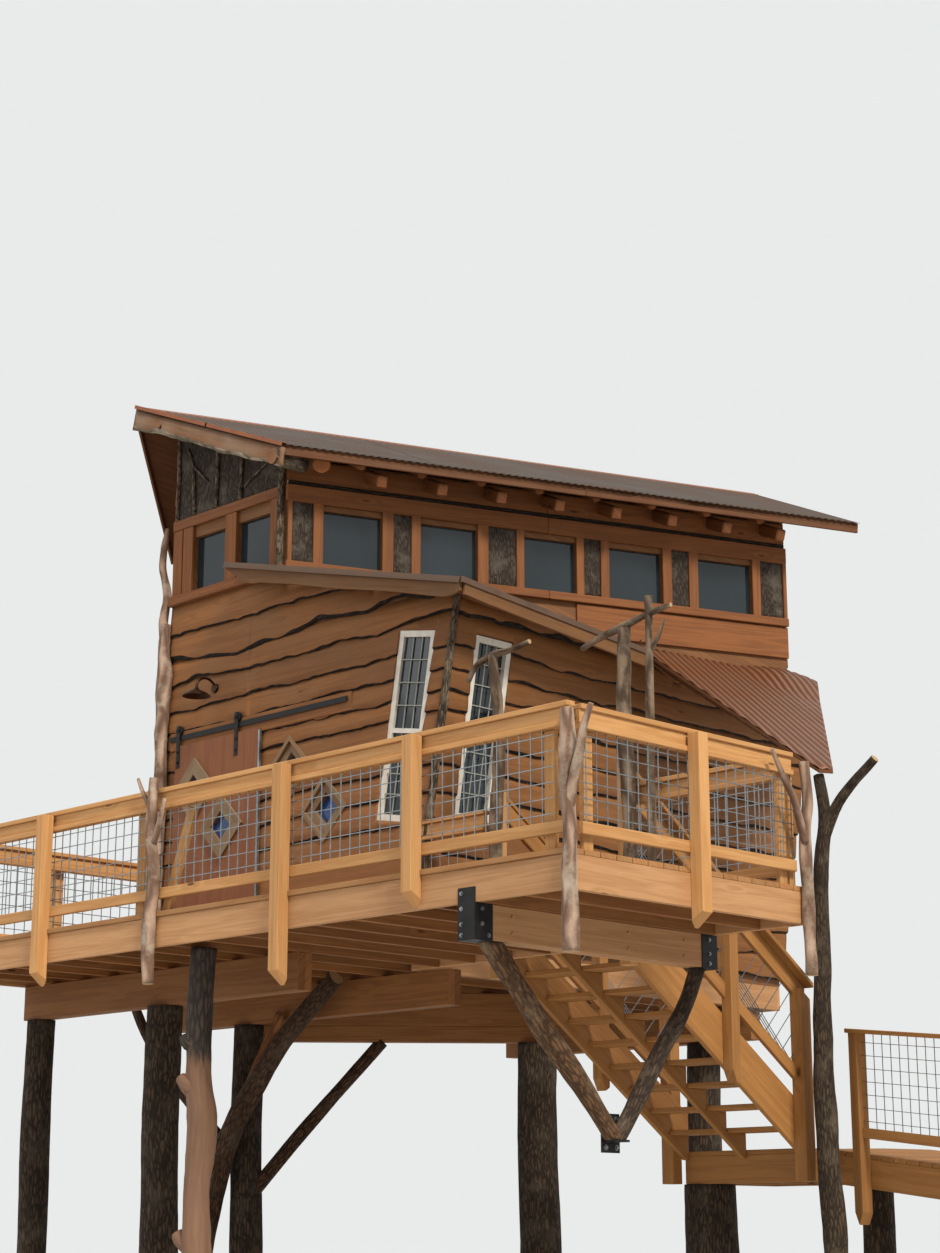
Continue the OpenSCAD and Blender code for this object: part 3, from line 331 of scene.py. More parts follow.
settle(logs, "house_log_trunks", [dark_bark, sawn_end], "log_bark", "house_logs")

# The front log: dark bark at its top, whose darkness also paints the deck's shade on it, and
# peeled to a smooth red-brown skin with knots below. It stands by itself near the deck's front
# edge, and its sawn top carries a joist.
half_peeled_shaded_top, tree, shader = new_finish("half-peeled log", Specular_IOR_Level=0.35, Roughness=0.72)
grain = grain_map(tree)
skin = add(tree, "Group", {"Along": grain, "Furrow": 26.0}, node_tree=rind)
shaded_bark = mix_colour(tree, ranged(tree, skin.outputs["Ridge"], 0.0, 0.6), "211912", "4c3d31")
streak = cloud(tree, stretch(tree, grain, 2.0, 22.0, 1.0), 1.0, 6.0, 0.65)
peeled = mix_colour(tree, streak, "4d3424", "8f6b52")
place = add(tree, "SeparateXYZ", {0: object_place(tree)})
# Painted shade: the darker bark colour above this line also stands in for the deck's shade on the log's top.
shaded_top = ranged(tree, maths(tree, "MULTIPLY_ADD", streak, 0.5, place.outputs[2]), 3.1, 3.2)
relief = maths(tree, "MULTIPLY_ADD", streak, 0.5, maths(tree, "MULTIPLY", skin.outputs["Height"], shaded_top))
dress(tree, shader, Base_Color=mix_colour(tree, shaded_top, peeled, shaded_bark), Normal=bumped(tree, relief, 0.008, 0.7))
near_log = bmesh.new()
log_y = 0.3
limb(near_log, upright(log_y, (-4.0, foot_z), (-4.035, -3.25), (-3.975, -2.6), (-4.01, -2.05), (-3.965, -1.5),
                       (-4.03, -1.12), (-4.0, -0.263)),
     [0.112, 0.104, 0.108, 0.098, 0.114, 0.092, 0.098], 32, 0.05, 0.12, 3.4)
for height, way_x, way_y, size in ((-1.3, -0.1, -0.06, 0.05), (-2.42, -0.11, -0.04, 0.052),
                                   (-1.0, -0.08, -0.07, 0.034), (-3.0, 0.08, -0.08, 0.04)):
    limb(near_log, [(-4.0, log_y, height), (-4.0 + way_x * 0.85, log_y + way_y, height + 0.03),
                    (-4.0 + way_x * 1.35, log_y + way_y * 1.35, height + 0.09)],
         [size * 1.8, size * 1.3, size * 0.75], 16, 0.025, 0.2, 7)
settle(near_log, "front_log_trunk", [half_peeled_shaded_top, sawn_end], "log_bark", "front_log")

braces = bmesh.new()
limbs(braces,
      (upright(2.335, (-6.98, foot_z), (-6.73, -3.3), (-6.49, -2.49), (-6.17, -1.55), (-5.52, -0.8), (-4.8, -0.263)),
       [0.118, 0.112, 0.102, 0.096, 0.084, 0.068], 24, 0.07, 0.1, 2.8),
      ([(-6.3, 2.335, -1.52), (-6.8, 2.245, -1.05), (-7.13, 2.145, -0.6), (-7.308, 2.105, -0.2635)],
       [0.056, 0.054, 0.046, 0.042], 16, 0.09, 0.08, 2.5),
      ([(-6.18, 2.6, -2.01), (-5.82, 3.05, -1.32), (-5.453, 3.474, -0.69)], [0.062, 0.058, 0.055], 16, 0.09, 0.08, 2.5))
settle(braces, "crooked_braces", [brace_bark, sawn_end], "log_bark", "log_braces")
peeled_brace = bark("peeled brace", "6b4124", "a06b3f", "8a6a4c", furrow=14.0, depth=0.002, patches=0.3)
straight_brace = bmesh.new()
limb(straight_brace, upright(2.485, (-6.29, -1.44), (-6.0, -0.97), (-5.67, -0.493)), [0.047, 0.046, 0.044],
     16, 0.09, 0.06, 2.5)
settle(straight_brace, "peeled_short_brace", [peeled_brace, sawn_end], "peeled_log")


# The sawn timber: girders and the beam under the deck, joists, rim and boards. Each is a board
# with eased edges and its own grain; the wood is fresh, golden and close-knotted.
wood, given, result = effect("timber grain", {"Along": None, "Rings": 9.0, "Knots": 1.0},
                             ("Band", "Fibre", "Knot", "Tint", "Height"))
along = given.outputs["Along"]
board_count = maths(wood, "FLOOR", maths(wood, "DIVIDE", add(wood, "SeparateXYZ", {0: along}).outputs[1], 10.0))
tint = add(wood, "TexWhiteNoise", {"W": board_count}, noise_dimensions="1D")
growth = add(wood, "TexNoise", {"Vector": stretch(wood, along, 0.45, 9.0, 1.0), "Scale": 1.0, "Detail": 2.5,
                                "Distortion": 0.35})
knots = add(wood, "TexVoronoi", {"Vector": stretch(wood, along, 1.7, 6.5, 1.0), "Scale": 1.0, "Randomness": 1.0})
picked = maths(wood, "GREATER_THAN", add(wood, "SeparateColor", {0: knots.outputs["Color"]}), 0.72)
pull = maths(wood, "MULTIPLY", ranged(wood, knots, 0.0, 0.3, 0.3, 0.0), picked)
waves = maths(wood, "MULTIPLY", maths(wood, "ADD", growth, pull), given.outputs["Rings"])
waves = maths(wood, "SINE", maths(wood, "MULTIPLY", waves, 6.283))
band = ranged(wood, waves, -1.0, 1.0)
fibre = cloud(wood, stretch(wood, along, 5.0, 160.0, 1.0), 1.0, 3.0)
knot = maths(wood, "MULTIPLY", ranged(wood, knots, 0.05, 0.1, 1.0, 0.0), picked)
for label, socket in (("Band", band), ("Fibre", fibre), ("Tint", tint),
                      ("Knot", maths(wood, "MULTIPLY", knot, given.outputs["Knots"])),
                      ("Height", maths(wood, "MULTIPLY_ADD", band, 0.5, fibre))):
    feed(wood, result.inputs[label], socket)


def timber(name, light, deep, knot_colour, spread=0.35, weather=None, rough=0.68, rings=5.0, depth=0.0012,
           along=None, knots=1.0):
    """Sawn wood. The grain follows the piece's own map, or an axis of the object where a node is carried over."""
    made, tree, shader = new_finish(name, Specular_IOR_Level=0.3)
    if along is None:
        turned = grain_map(tree)
    else:
        split = add(tree, "SeparateXYZ", {0: object_place(tree)})
        a, b, c = (split.outputs[i] for i in {"x": (0, 1, 2), "y": (1, 0, 2), "z": (2, 0, 1)}[along])
        turned = add(tree, "CombineXYZ", {0: a, 1: maths(tree, "ADD", b, c)}).outputs[0]
    grain = add(tree, "Group", {"Along": turned, "Rings": rings, "Knots": knots}, node_tree=wood)
    tone = maths(tree, "MULTIPLY_ADD", grain.outputs["Fibre"], 0.8,
                 maths(tree, "MULTIPLY", grain.outputs["Band"], 0.32))
    shade = ranged(tree, grain.outputs["Tint"], 0.0, 1.0, 1 - spread, 1 + spread * 0.35)
    colour = mix_colour(tree, 1.0, mix_colour(tree, tone, light, deep), shade.outputs[0], "MULTIPLY")
    colour = mix_colour(tree, grain.outputs["Knot"], colour, knot_colour)
    if weather:
        worn = ranged(tree, cloud(tree, turned, 1.6, 4.0), 0.4, 0.75, 0.0, 0.75)
        colour = mix_colour(tree, worn, colour, weather)
    dress(tree, shader, Base_Color=colour,
          Roughness=ranged(tree, grain.outputs["Fibre"], 0.0, 1.0, rough - 0.1, rough + 0.12),
          Normal=bumped(tree, grain.outputs["Height"], depth, 0.6))
    return made


board_no = [0]


def board(bm, foot, run, face, length, wide, thick, eased=0.004):
    """One sawn board: it starts at a corner, and runs along one direction with its width along another."""
    run, face = Vector(run).normalized(), Vector(face).normalized()
    out = run.cross(face).normalized()
    start = len(bm.faces)
    turn = Matrix((run, out.cross(run), out)).transposed().to_4x4()
    place = (Matrix.Translation(Vector(foot)) @ turn @ Matrix.Diagonal((length, wide, thick, 1))
             @ Matrix.Translation((0.5, 0.5, 0.5)))
    corners = bmesh.ops.create_cube(bm, size=1.0, matrix=place)["verts"]
    if eased:
        edges = list(dict.fromkeys(e for v in corners for e in v.link_edges))
        bmesh.ops.bevel(bm, geom=edges, offset=eased, segments=1, profile=0.5, affect="EDGES", material=-1)
    bm.faces.ensure_lookup_table()
    grain = bm.loops.layers.uv.verify()
    back = place.inverted()
    board_no[0] += 1
    shift_u, shift_v = chance.random() * 9, 10 * (board_no[0] % 97) + 2 + chance.random() * 3
    for side in bm.faces[start:]:
        for corner in side.loops:
            local = back @ corner.vert.co
            u, v, w = local.x * length, local.y * wide, local.z * thick
            if abs(side.normal.dot(run)) > 0.7:
                u, v = v * 0.3, w + v
            elif abs(side.normal.dot(out)) <= 0.7:
                v = w + wide
            corner[grain].uv = (u + shift_u, v + shift_v)


def cut_off(bm, at, away):
    """Cuts away what lies past a plane, and leaves the cut open."""
    whole = [*bm.verts, *bm.edges, *bm.faces]
    return bmesh.ops.bisect_plane(bm, geom=whole, plane_co=Vector(at), plane_no=Vector(away), clear_outer=True)


def trim(bm, at, away, cut=0):
    """Saws off what lies past a plane, and closes the cut."""
    edges = [g for g in cut_off(bm, at, away)["geom_cut"] if isinstance(g, bmesh.types.BMEdge)]
    if edges:
        bmesh.ops.edgeloop_fill(bm, edges=edges, mat_nr=cut)


def join(bm, other):
    """Adds a piece that was built apart."""
    stub = bpy.data.meshes.new("stub")
    other.to_mesh(stub)
    other.free()
    bm.from_mesh(stub)
    bpy.data.meshes.remove(stub)


deck_depth = 2.45
left_x, right_x, back_y = -7.33, -3.97, 7.28
joist_low, board_t, joist_t, joist_d = -0.263, 0.038, 0.042, 0.225
new_timber = timber("fresh sawn timber", "c99a6c", "a4744a", "5c3c25", spread=0.18)
deck_timber = timber("deck timber", "b98753", "936036", "57351d", spread=0.25, weather="9c7a51")
under_timber = timber("joist timber", "9c6a3a", "734623", "452914", spread=0.25)

girders = bmesh.new()
for y, length in ((1.0, 3.62), (2.6, 3.62), (6.97, 3.24)):
    for near in (y - 0.07, y):
        board(girders, (left_x + 0.06, near, girder_low), X, Z, length, 0.29, -0.07, 0.005)
slant = Vector((1.69, 1.9, 0)).normalized()
aside = Vector((-slant.y, slant.x, 0))
for side_on in (-0.07, 0.0):
    for low, tall in ((-0.693, 0.14), (-0.553, 0.29)):
        board(girders, Vector((-6.18, 2.69, low)) + aside * side_on, slant, Z, 2.62, tall, -0.07, 0.005)
settle(girders, "girder_timbers", [under_timber], "old_timber", "girders")

beam = bmesh.new()
for x in (-0.97, -0.9):
    board(beam, (x, 0.0, -0.498), Y, Z, deck_depth, 0.235, 0.07, 0.005)
for y in (0.35, 0.9, 1.5, 2.1):
    for z in (-0.33, -0.44):
        bmesh.ops.create_cone(beam, cap_ends=True, segments=8, radius1=0.012, radius2=0.012, depth=0.012,
                              matrix=Matrix.Translation((-0.826, y, z)) @ Matrix.Rotation(math.pi / 2, 4, "Y"))
settle(beam, "beam_timbers", [new_timber], "old_timber", "main_beam")

joists = bmesh.new()
joist_pitch, well, well_r = 0.406, Vector((-1.18, 1.421, 0)), 0.28
for k in range(1, 18):
    x = left_x + joist_pitch * k
    far_end = back_y - joist_t if x < right_x - 2 * joist_t else deck_depth - joist_t
    reach = well_r ** 2 - (x + 0.02 - well.x) ** 2
    spans = [(joist_t, far_end)]
    if reach > 0:
        half = math.sqrt(reach)
        spans = [(joist_t, well.y - half), (well.y + half, far_end)]
    for low_y, high_y in spans:
        board(joists, (x, low_y, joist_low), Y, Z, high_y - low_y, joist_d, joist_t, 0.003)
settle(joists, "joist_timbers", [under_timber], "old_timber", "deck_joists")

rim = bmesh.new()
for x, y, way, length in ((left_x + 0.001, joist_t, X, 1.708), (-5.619, joist_t, X, 2.758),
                          (-2.859, joist_t, X, 2.858), (-joist_t, joist_t, Y, deck_depth - joist_t),
                          (right_x, deck_depth, X, -right_x - joist_t), (left_x, joist_t, Y, back_y - joist_t),
                          (left_x + joist_t, back_y, X, right_x - left_x - joist_t),
                          (right_x - joist_t, deck_depth, Y, back_y - deck_depth - joist_t)):
    board(rim, (x, y, joist_low), way, Z, length, joist_d, joist_t)
settle(rim, "rim_timbers", [new_timber], "new_timber", "deck_rim")

planks = bmesh.new()
rows, gap = 16, 0.008
pitch = (deck_depth - 0.0003 + gap) / rows
for i in range(rows):
    y0, y1 = i * pitch - (0.018 if i == 0 else 0), (i + 1) * pitch - gap
    seam = -3.3 if i % 2 else -4.45
    board(planks, (left_x, y0, -board_t), X, Y, seam - left_x, y1 - y0, board_t)
    reach = [math.sqrt(max(well_r ** 2 - (y - well.y) ** 2, 0.0)) for y in (y0, y1)]
    if max(reach) == 0:
        board(planks, (seam + 0.003, y0, -board_t), X, Y, -seam - 0.003, y1 - y0, board_t)
        continue
    for sign, start, end in ((-1, seam + 0.003, well.x), (1, well.x, 0.0)):
        half = bmesh.new()
        board(half, (start, y0, -board_t), X, Y, end - start, y1 - y0, board_t)
        a, b = (Vector((well.x + sign * r, y, 0)) for r, y in zip(reach, (y0, y1)))
        cut = (b - a).cross(Z)
        trim(half, a, cut * (-1 if cut.x * sign > 0 else 1))
        join(planks, half)
settle(planks, "deck_planks", [deck_timber], "new_timber", "deck_boards")


# The steel that holds the beam and the braces: black painted plate, folded and bolted with
# hexagon heads. The lower bracket has an upright plate with four lag bolts.
def metal(name, colour, worn, rough=0.45, metallic=0.9, scale=9.0, spread=0.35, rib_shade=None):
    """Metal with worn patches, and with painted shade on one flank of its ribs, next to the troughs, where a colour is
    given.
    """
    made, tree, shader = new_finish(name, Metallic=metallic)
    blotch = cloud(tree, object_place(tree), scale, 5.0, 0.62)
    tinted = mix_colour(tree, ranged(tree, blotch, 0.5 - spread / 2, 0.5 + spread), colour, worn)
    if rib_shade:
        ribs = add(tree, "SeparateXYZ", {0: grain_map(tree)})
        # Painted shade: dark on one flank of each rib and in the trough beside it, where the ribs would shade
        # themselves.
        shaded_flank = maths(tree, "SINE", maths(tree, "MULTIPLY_ADD", ribs, 2 * math.pi, -0.95))
        tinted = mix_colour(tree, ranged(tree, shaded_flank, 0.7, -0.8, 0.0, 0.92), tinted, rib_shade)
    dress(tree, shader, Base_Color=tinted, Roughness=ranged(tree, blotch, 0.3, 0.7, rough - 0.1, rough + 0.15),
          Normal=bumped(tree, blotch, 0.001, 0.4))
    return made


def carry(finish, *names):
    """Gives carried-over parts their finish."""
    for node in names:
        nodes[node].data.materials.clear()
        nodes[node].data.materials.append(finish)


def bolt(bm, at, axis, size=0.01, high=0.008):
    """A hexagon bolt head with its washer."""
    place = Matrix.Translation(Vector(at)) @ Vector(axis).to_track_quat("Z", "Y").to_matrix().to_4x4()
    for segments, low_r, high_r, low, depth in ((16, size * 1.5, size * 1.45, 0.0, 0.003),
                                                (6, size, size * 0.94, 0.003, high)):
        bmesh.ops.create_cone(bm, cap_ends=True, segments=segments, radius1=low_r, radius2=high_r, depth=depth,
                              matrix=place @ Matrix.Translation((0, 0, low + depth / 2)))


black_steel = metal("black steel", "17181a", "35322f", rough=0.5, metallic=0.7)
zinc_steel = metal("zinc plated steel", "787b7e", "a3a6a8", rough=0.4, metallic=1.0)
carry(black_steel, "beam_brackets", "tree_bracket")
fixings = bmesh.new()
for z in (-0.2, -0.3, -0.4, -0.47):
    bolt(fixings, (-0.945, -0.008, z), -Y)
    bolt(fixings, (-0.822, 0.06 if z > -0.45 else 0.12, z), X)
for z in (-0.3, -0.4, -0.47):
    bolt(fixings, (-0.822, 2.37, z), X)
    bolt(fixings, (-0.945, 2.458, z), Y)
foot_y = well.y
for y in (-0.055, 0.055):
    for z in (-0.095, 0.095):
        bolt(fixings, (-0.948, foot_y + y, -1.68 + z), X, size=0.013, high=0.012)
settle(fixings, "bracket_bolts", [zinc_steel], "black_steel")

knee_wood = bark("weathered brace wood", "3f2c1c", "725338", "907c64", furrow=34.0, depth=0.003, patches=0.35)
dark_knee = bark("dark brace wood", "2b211a", "554434", "77695a", furrow=36.0, depth=0.003, patches=0.4)
for name, finish, sign, path, radii in (
        ("near_knee_limb", knee_wood, 1,
         [(-0.9, foot_y - 0.02, -1.72), (-0.905, 1.1, -1.39), (-0.89, 0.75, -1.08), (-0.905, 0.42, -0.72),
          (-0.9, 0.16, -0.44)],
         [0.058, 0.066, 0.078, 0.07, 0.074]),
        ("far_knee_limb", dark_knee, -1,
         [(-0.9, foot_y - 0.01, -1.74), (-0.905, 1.66, -1.44), (-0.89, 1.9, -1.1), (-0.9, 2.16, -0.8),
          (-0.9, 2.36, -0.44)],
         [0.052, 0.058, 0.062, 0.056, 0.058])):
    knee_limb = bmesh.new()
    limb(knee_limb, path, radii, 26, 0.05, 0.12, 3.4)
    trim(knee_limb, (0, foot_y - 0.004 * sign, 0), Y * sign, 1)
    trim(knee_limb, (0, 0, -0.5065), Z, 1)
    trim(knee_limb, (0, 0, -1.7245), -Z, 1)
    settle(knee_limb, name, [finish, sawn_end], "peeled_log", "knee_braces")


# The cabin's walls: framed walls clad in live-edge boards. Each course is one slab whose lower
# edge keeps its natural wavy line and its dark bark, lapped over the one below.
wall_y, knee_x, shade_colours = 2.45, -5.68, ("8a5e37", "633e22", "3f2412")
lean_angle = math.radians(9.9)
lean = math.tan(lean_angle)
lean_away = Vector((math.cos(lean_angle), 0, -math.sin(lean_angle)))
lean_up = Vector((math.sin(lean_angle), 0, math.cos(lean_angle)))
carry(timber("wall lining", *shade_colours, along="x", spread=0.1),
      "wall_front_left", "wall_over_door", "wall_front_right", "wall_back", "upper_front_wall")
carry(timber("side wall lining", *shade_colours, along="y", spread=0.1),
      "wall_right", "wall_left", "upper_long_wall", "cabin_floor")
roofs = ("shed_roof", "lean_to_roof", "main_roof_low", "main_roof_steep")
sky = [BVHTree.FromPolygons([v.co[:] for v in solid.vertices], [p.vertices[:] for p in solid.polygons])
       for solid in (nodes[name].data for name in roofs)]


def plumb_hit(tree, spot, start, way):
    """The height where a plumb line through a place meets a roof, or None."""
    hit = tree.ray_cast(Vector((spot.x, spot.y, start)) + deck, way)[0]
    return None if hit is None else hit.z - deck.z


def clear_of_roofs(bm, gap=0.004, trees=(0, 1, 2, 3), floor_z=0.3):
    """Draws down what would stand through a roof's underside."""
    for v in bm.verts:
        for i in trees:
            under = plumb_hit(sky[i], v.co, floor_z, Z)
            if under is not None and v.co.z > under - gap:
                v.co.z = under - gap


def height_on(tree, spot, middle):
    """The height of a roof's upper face over a place; past its edge, the slope is carried on."""
    toward = Vector((middle.x - spot.x, middle.y - spot.y, 0))
    reach, toward, found = toward.length, toward.normalized(), []
    for k in range(200):
        far = 0.02 * k
        top = plumb_hit(tree, spot + toward * min(far, reach), 9, -Z)
        if top is not None:
            found.append((far, top))
            if far == 0 or len(found) == 6:
                break
    (near, z0), (next_at, z1) = found[0], found[-1]
    return z0 if near == 0 else z0 + (z0 - z1) * near / (next_at - near)


def wave(u, seed):
    """The wander of a live edge along a board."""
    slow_part = noise.noise(Vector((u * 1.1, seed * 7.3, 0))) * 0.034
    quick_part = noise.noise(Vector((u * 3.7, seed * 3.1, 5))) * 0.02
    nick = max(noise.noise(Vector((u * 8.0, seed * 1.7, 3))), 0) * 0.022
    return slow_part + quick_part - nick


def new_grid(bm, columns, lines):
    """A flat grid added to a piece, with its own points, its faces and their map."""
    grain = bm.loops.layers.uv.verify()
    first, start = len(bm.verts), len(bm.faces)
    bmesh.ops.create_grid(bm, x_segments=columns, y_segments=lines, size=0.5)
    bm.verts.ensure_lookup_table()
    bm.faces.ensure_lookup_table()
    return bm.verts[first:], bm.faces[start:], grain


def live_edge(bm, where, u0, u1, low, high, seed, known=None, wide_bark=0.016, lap=0.035):
    """One live-edge slab on a wall, from its lower edge to where the next one laps over it."""
    columns = max(4, round((u1 - u0) / 0.035))
    points, faces, grain = new_grid(bm, columns, 4)
    shift_u, shift_v = chance.random() * 9, 10 * ((seed * 13) % 89) + 3
    spots = {}
    for v in points:
        along, row = v.co.x + 0.5, round((v.co.y + 0.5) * 4)
        u = u0 + (u1 - u0) * along
        base = low + wave(u, seed)
        if known:
            base = known[0][1]
            for (ua, za), (ub, zb) in zip(known, known[1:]):
                if u >= ua:
                    base = za + (zb - za) * min((u - ua) / (ub - ua), 1)
            base += noise.noise(Vector((u * 9, seed, 2))) * 0.01
        strip = wide_bark * (1 + 1.5 * noise.noise(Vector((u * 3.4, seed, 9))))
        top = high + lap
        heights = (base, base + max(strip, 0.005), base + (top - base) * 0.3, base + (top - base) * 0.65, top)
        outs = (0.034, 0.043, 0.04, 0.032, 0.018)
        spots[v] = (u, heights[row])
        v.co = where(u, heights[row], outs[row] + 0.003 * noise.noise(Vector((u * 6, row * 3.0, seed))))
    for count, face in enumerate(faces):
        face.smooth, face.material_index = True, 1 if count < columns else 0
        for corner in face.loops:
            u, z = spots[corner.vert]
            corner[grain].uv = (u + shift_u, z - low + shift_v)


def courses(bm, where, u0, u1, rows, seed, tall=0.235):
    """Stacks live-edge slabs of one height on a wall."""
    for i in rows:
        low = 0.02 + i * tall
        live_edge(bm, where, u0, u1, low, low + tall, i + seed)


def cut_opening(bm, where, centre, half_u, half_z, turn=0.0):
    """Saws a window's hole through the cladding."""
    c, s = math.cos(turn), math.sin(turn)
    origin = where(centre[0], centre[1], 0)
    ahead = (where(centre[0] + 1, centre[1], 0) - origin).normalized()
    upward = (where(centre[0], centre[1] + 1, 0) - origin).normalized()
    a, b = ahead * c - upward * s, ahead * s + upward * c
    for normal, reach in ((a, half_u), (-a, half_u), (b, half_z), (-b, half_z)):
        near = [f for f in bm.faces if (f.calc_center_median() - origin).length < (half_u + half_z) + 0.6]
        geom = list(dict.fromkeys(g for f in near for g in (f, *f.edges, *f.verts)))
        bmesh.ops.bisect_plane(bm, geom=geom, plane_co=origin + normal * reach, plane_no=normal)
    gone = []
    for f in bm.faces:
        off = f.calc_center_median() - origin
        if abs(off.dot(a)) < half_u and abs(off.dot(b)) < half_z and off.length < half_u + half_z:
            gone.append(f)
    bmesh.ops.delete(bm, geom=gone, context="FACES")


def front(u, z, out):
    return Vector((u, wall_y - out, z))


def right_side(u, z, out):
    return Vector((right_x + z * lean + out, u, z))


def left_side(u, z, out):
    return Vector((left_x - out, u, z))


def rear(u, z, out):
    return Vector((u, back_y + out, z))


def plate(thickness, offset=-1.0):
    return "SOLIDIFY", {"thickness": thickness, "offset": offset}


siding = timber("live-edge siding", "986435", "6f4522", "3a2011", spread=0.22, weather="7d5734", rings=4.0,
                depth=0.002)
live_bark = bark("live edge bark", "0f0a07", "33241a", "4a3a2c", furrow=30.0, depth=0.006, patches=0.15)
clad_finishes, boards_on = [siding, live_bark], [plate(0.015)]
measured = {
    13: [(-7.33, 2.93), (-7.22, 2.91), (-6.32, 2.8), (-5.9, 2.85), (-5.48, 2.86), (-5.21, 2.92), (-4.88, 2.89),
         (-4.56, 2.86), (-4.24, 2.92), (-4.06, 2.91), (-3.78, 2.83), (-3.4, 2.88)],
    12: [(-7.33, 2.64), (-7.28, 2.65), (-6.9, 2.7), (-6.17, 2.64), (-5.75, 2.65), (-5.21, 2.64), (-4.88, 2.68),
         (-4.43, 2.62), (-4.18, 2.66), (-3.93, 2.68), (-3.4, 2.69)],
}
levels = [0.02, 0.24, 0.47, 0.71, 0.95, 1.18, 1.4, 1.62, 1.85, 2.02, 2.2, 2.4, 2.65, 2.86, 3.15, 3.44]
diamonds = ((-5.09, 1.215), (-5.56, 1.635))
cladding = bmesh.new()
for i, (low, high) in enumerate(zip(levels, levels[1:])):
    live_edge(cladding, front, left_x, -3.2, low, high, i + 3, measured.get(i), wide_bark=0.03 if i == 13 else 0.015)
cut_opening(cladding, front, (-6.6, 0.9), 0.46, 1.13)
for spot in diamonds:
    cut_opening(cladding, front, spot, 0.175, 0.175, math.pi / 4)
tall_mid = Vector((-4.42, 0, 1.03)) + 0.22 * lean_away + 0.81 * lean_up
cut_opening(cladding, front, (tall_mid.x, tall_mid.z), 0.22, 0.81, lean_angle)
cut_off(cladding, (right_x, 0, 0), lean_away)
clear_of_roofs(cladding, trees=(0,))
for v in cladding.verts:
    off_door = min(1.0, max(0.0, (v.co.x + 4.85) / 0.25, (v.co.z - 2.12) / 0.25))
    v.co.y = wall_y - (wall_y - v.co.y) * (0.84 + 0.16 * off_door)
settle(cladding, "front_live_edge_siding", clad_finishes, "siding", shape=boards_on, facing=-Y)

cladding = bmesh.new()
for i in range(12):
    live_edge(cladding, right_side, wall_y, back_y, levels[i], levels[i + 1], i + 23)
live_edge(cladding, right_side, wall_y, back_y, 2.65, 2.9, 47, wide_bark=0.03)
cut_opening(cladding, right_side, (2.91, 1.0 + 0.775), 0.22, 0.775)
clear_of_roofs(cladding, trees=(0, 1))
lean_middle = Vector((-3.2, 5.2, 0))
for v in cladding.verts:
    if v.co.y > 4.4:
        v.co.z = min(v.co.z, height_on(sky[1], v.co, lean_middle) + (0.05 if v.co.y > 6.85 else -0.03))
settle(cladding, "right_live_edge_siding", clad_finishes, "siding", shape=boards_on, facing=X)

cladding = bmesh.new()
courses(cladding, left_side, wall_y, back_y, range(20), 53)
clear_of_roofs(cladding, trees=(2, 3))
settle(cladding, "left_live_edge_siding", clad_finishes, "siding", shape=boards_on, facing=-X)

cladding, upper_rows, corner_rows = bmesh.new(), bmesh.new(), bmesh.new()
upper_x, corner_x = -3.76, -3.4
courses(cladding, rear, left_x, corner_x, range(11), 83)
cut_off(cladding, (right_x, 0, 0), lean_away)
courses(upper_rows, rear, left_x, upper_x, range(11, 22), 83)
join(cladding, upper_rows)
clear_of_roofs(cladding, trees=(1, 2, 3))
courses(corner_rows, rear, upper_x, corner_x, (11, 12), 83)
cut_off(corner_rows, (right_x, 0, 0), lean_away)
low_side, high_side = (Vector((x, back_y, 0)) for x in (corner_x, upper_x))
for spot in (low_side, high_side):
    spot.z = height_on(sky[1], spot, lean_middle) + 0.06
cut_off(corner_rows, low_side, (low_side - high_side).cross(Y))
join(cladding, corner_rows)
settle(cladding, "rear_live_edge_siding", clad_finishes, "siding", shape=boards_on, facing=Y)


# The windows: white sashes with thin glazing bars in the tall openings, which lean with the
# corner, and square panes set on their corners in board frames beside the door.
# Glass of one colour with soft grey-blue blotches mixed in, which paint reflections; the same blotches ripple its
# surface.
def glass(name, tint, clear=0.3):
    made, tree, shader = new_finish(name, Roughness=0.04, Transmission_Weight=clear, IOR=1.5, Metallic=0.0)
    ripple_and_reflection = add(tree, "TexNoise", {"Vector": object_place(tree), "Scale": 1.3, "Detail": 1.0})
    dress(tree, shader, Base_Color=mix_colour(tree, ripple_and_reflection, tint, "38444a"), Normal=bumped(tree, ripple_and_reflection, 0.01, 0.12))
    return made


# The window glass is near-black, a painted stand-in for the dark reflections and the shaded inside seen in the panes.
carry(glass("window glass", "10161a"), "tall_window_glass", "clerestory_glass")
carry(glass("blue pane", "2c5aa8", clear=0.2), "diamond_glass", "door_glass")
white_paint, tree, shader = new_finish("white window paint")
scuffs = add(tree, "TexNoise", {"Vector": object_place(tree), "Scale": 14.0, "Detail": 6.0})
dress(tree, shader, Base_Color=mix_colour(tree, scuffs, "e6e2d8", "bdb6a6"),
      Roughness=add(tree, "MapRange", {"Value": scuffs, "To Min": 0.4, "To Max": 0.62}))
carry(white_paint, "tall_window_frames")

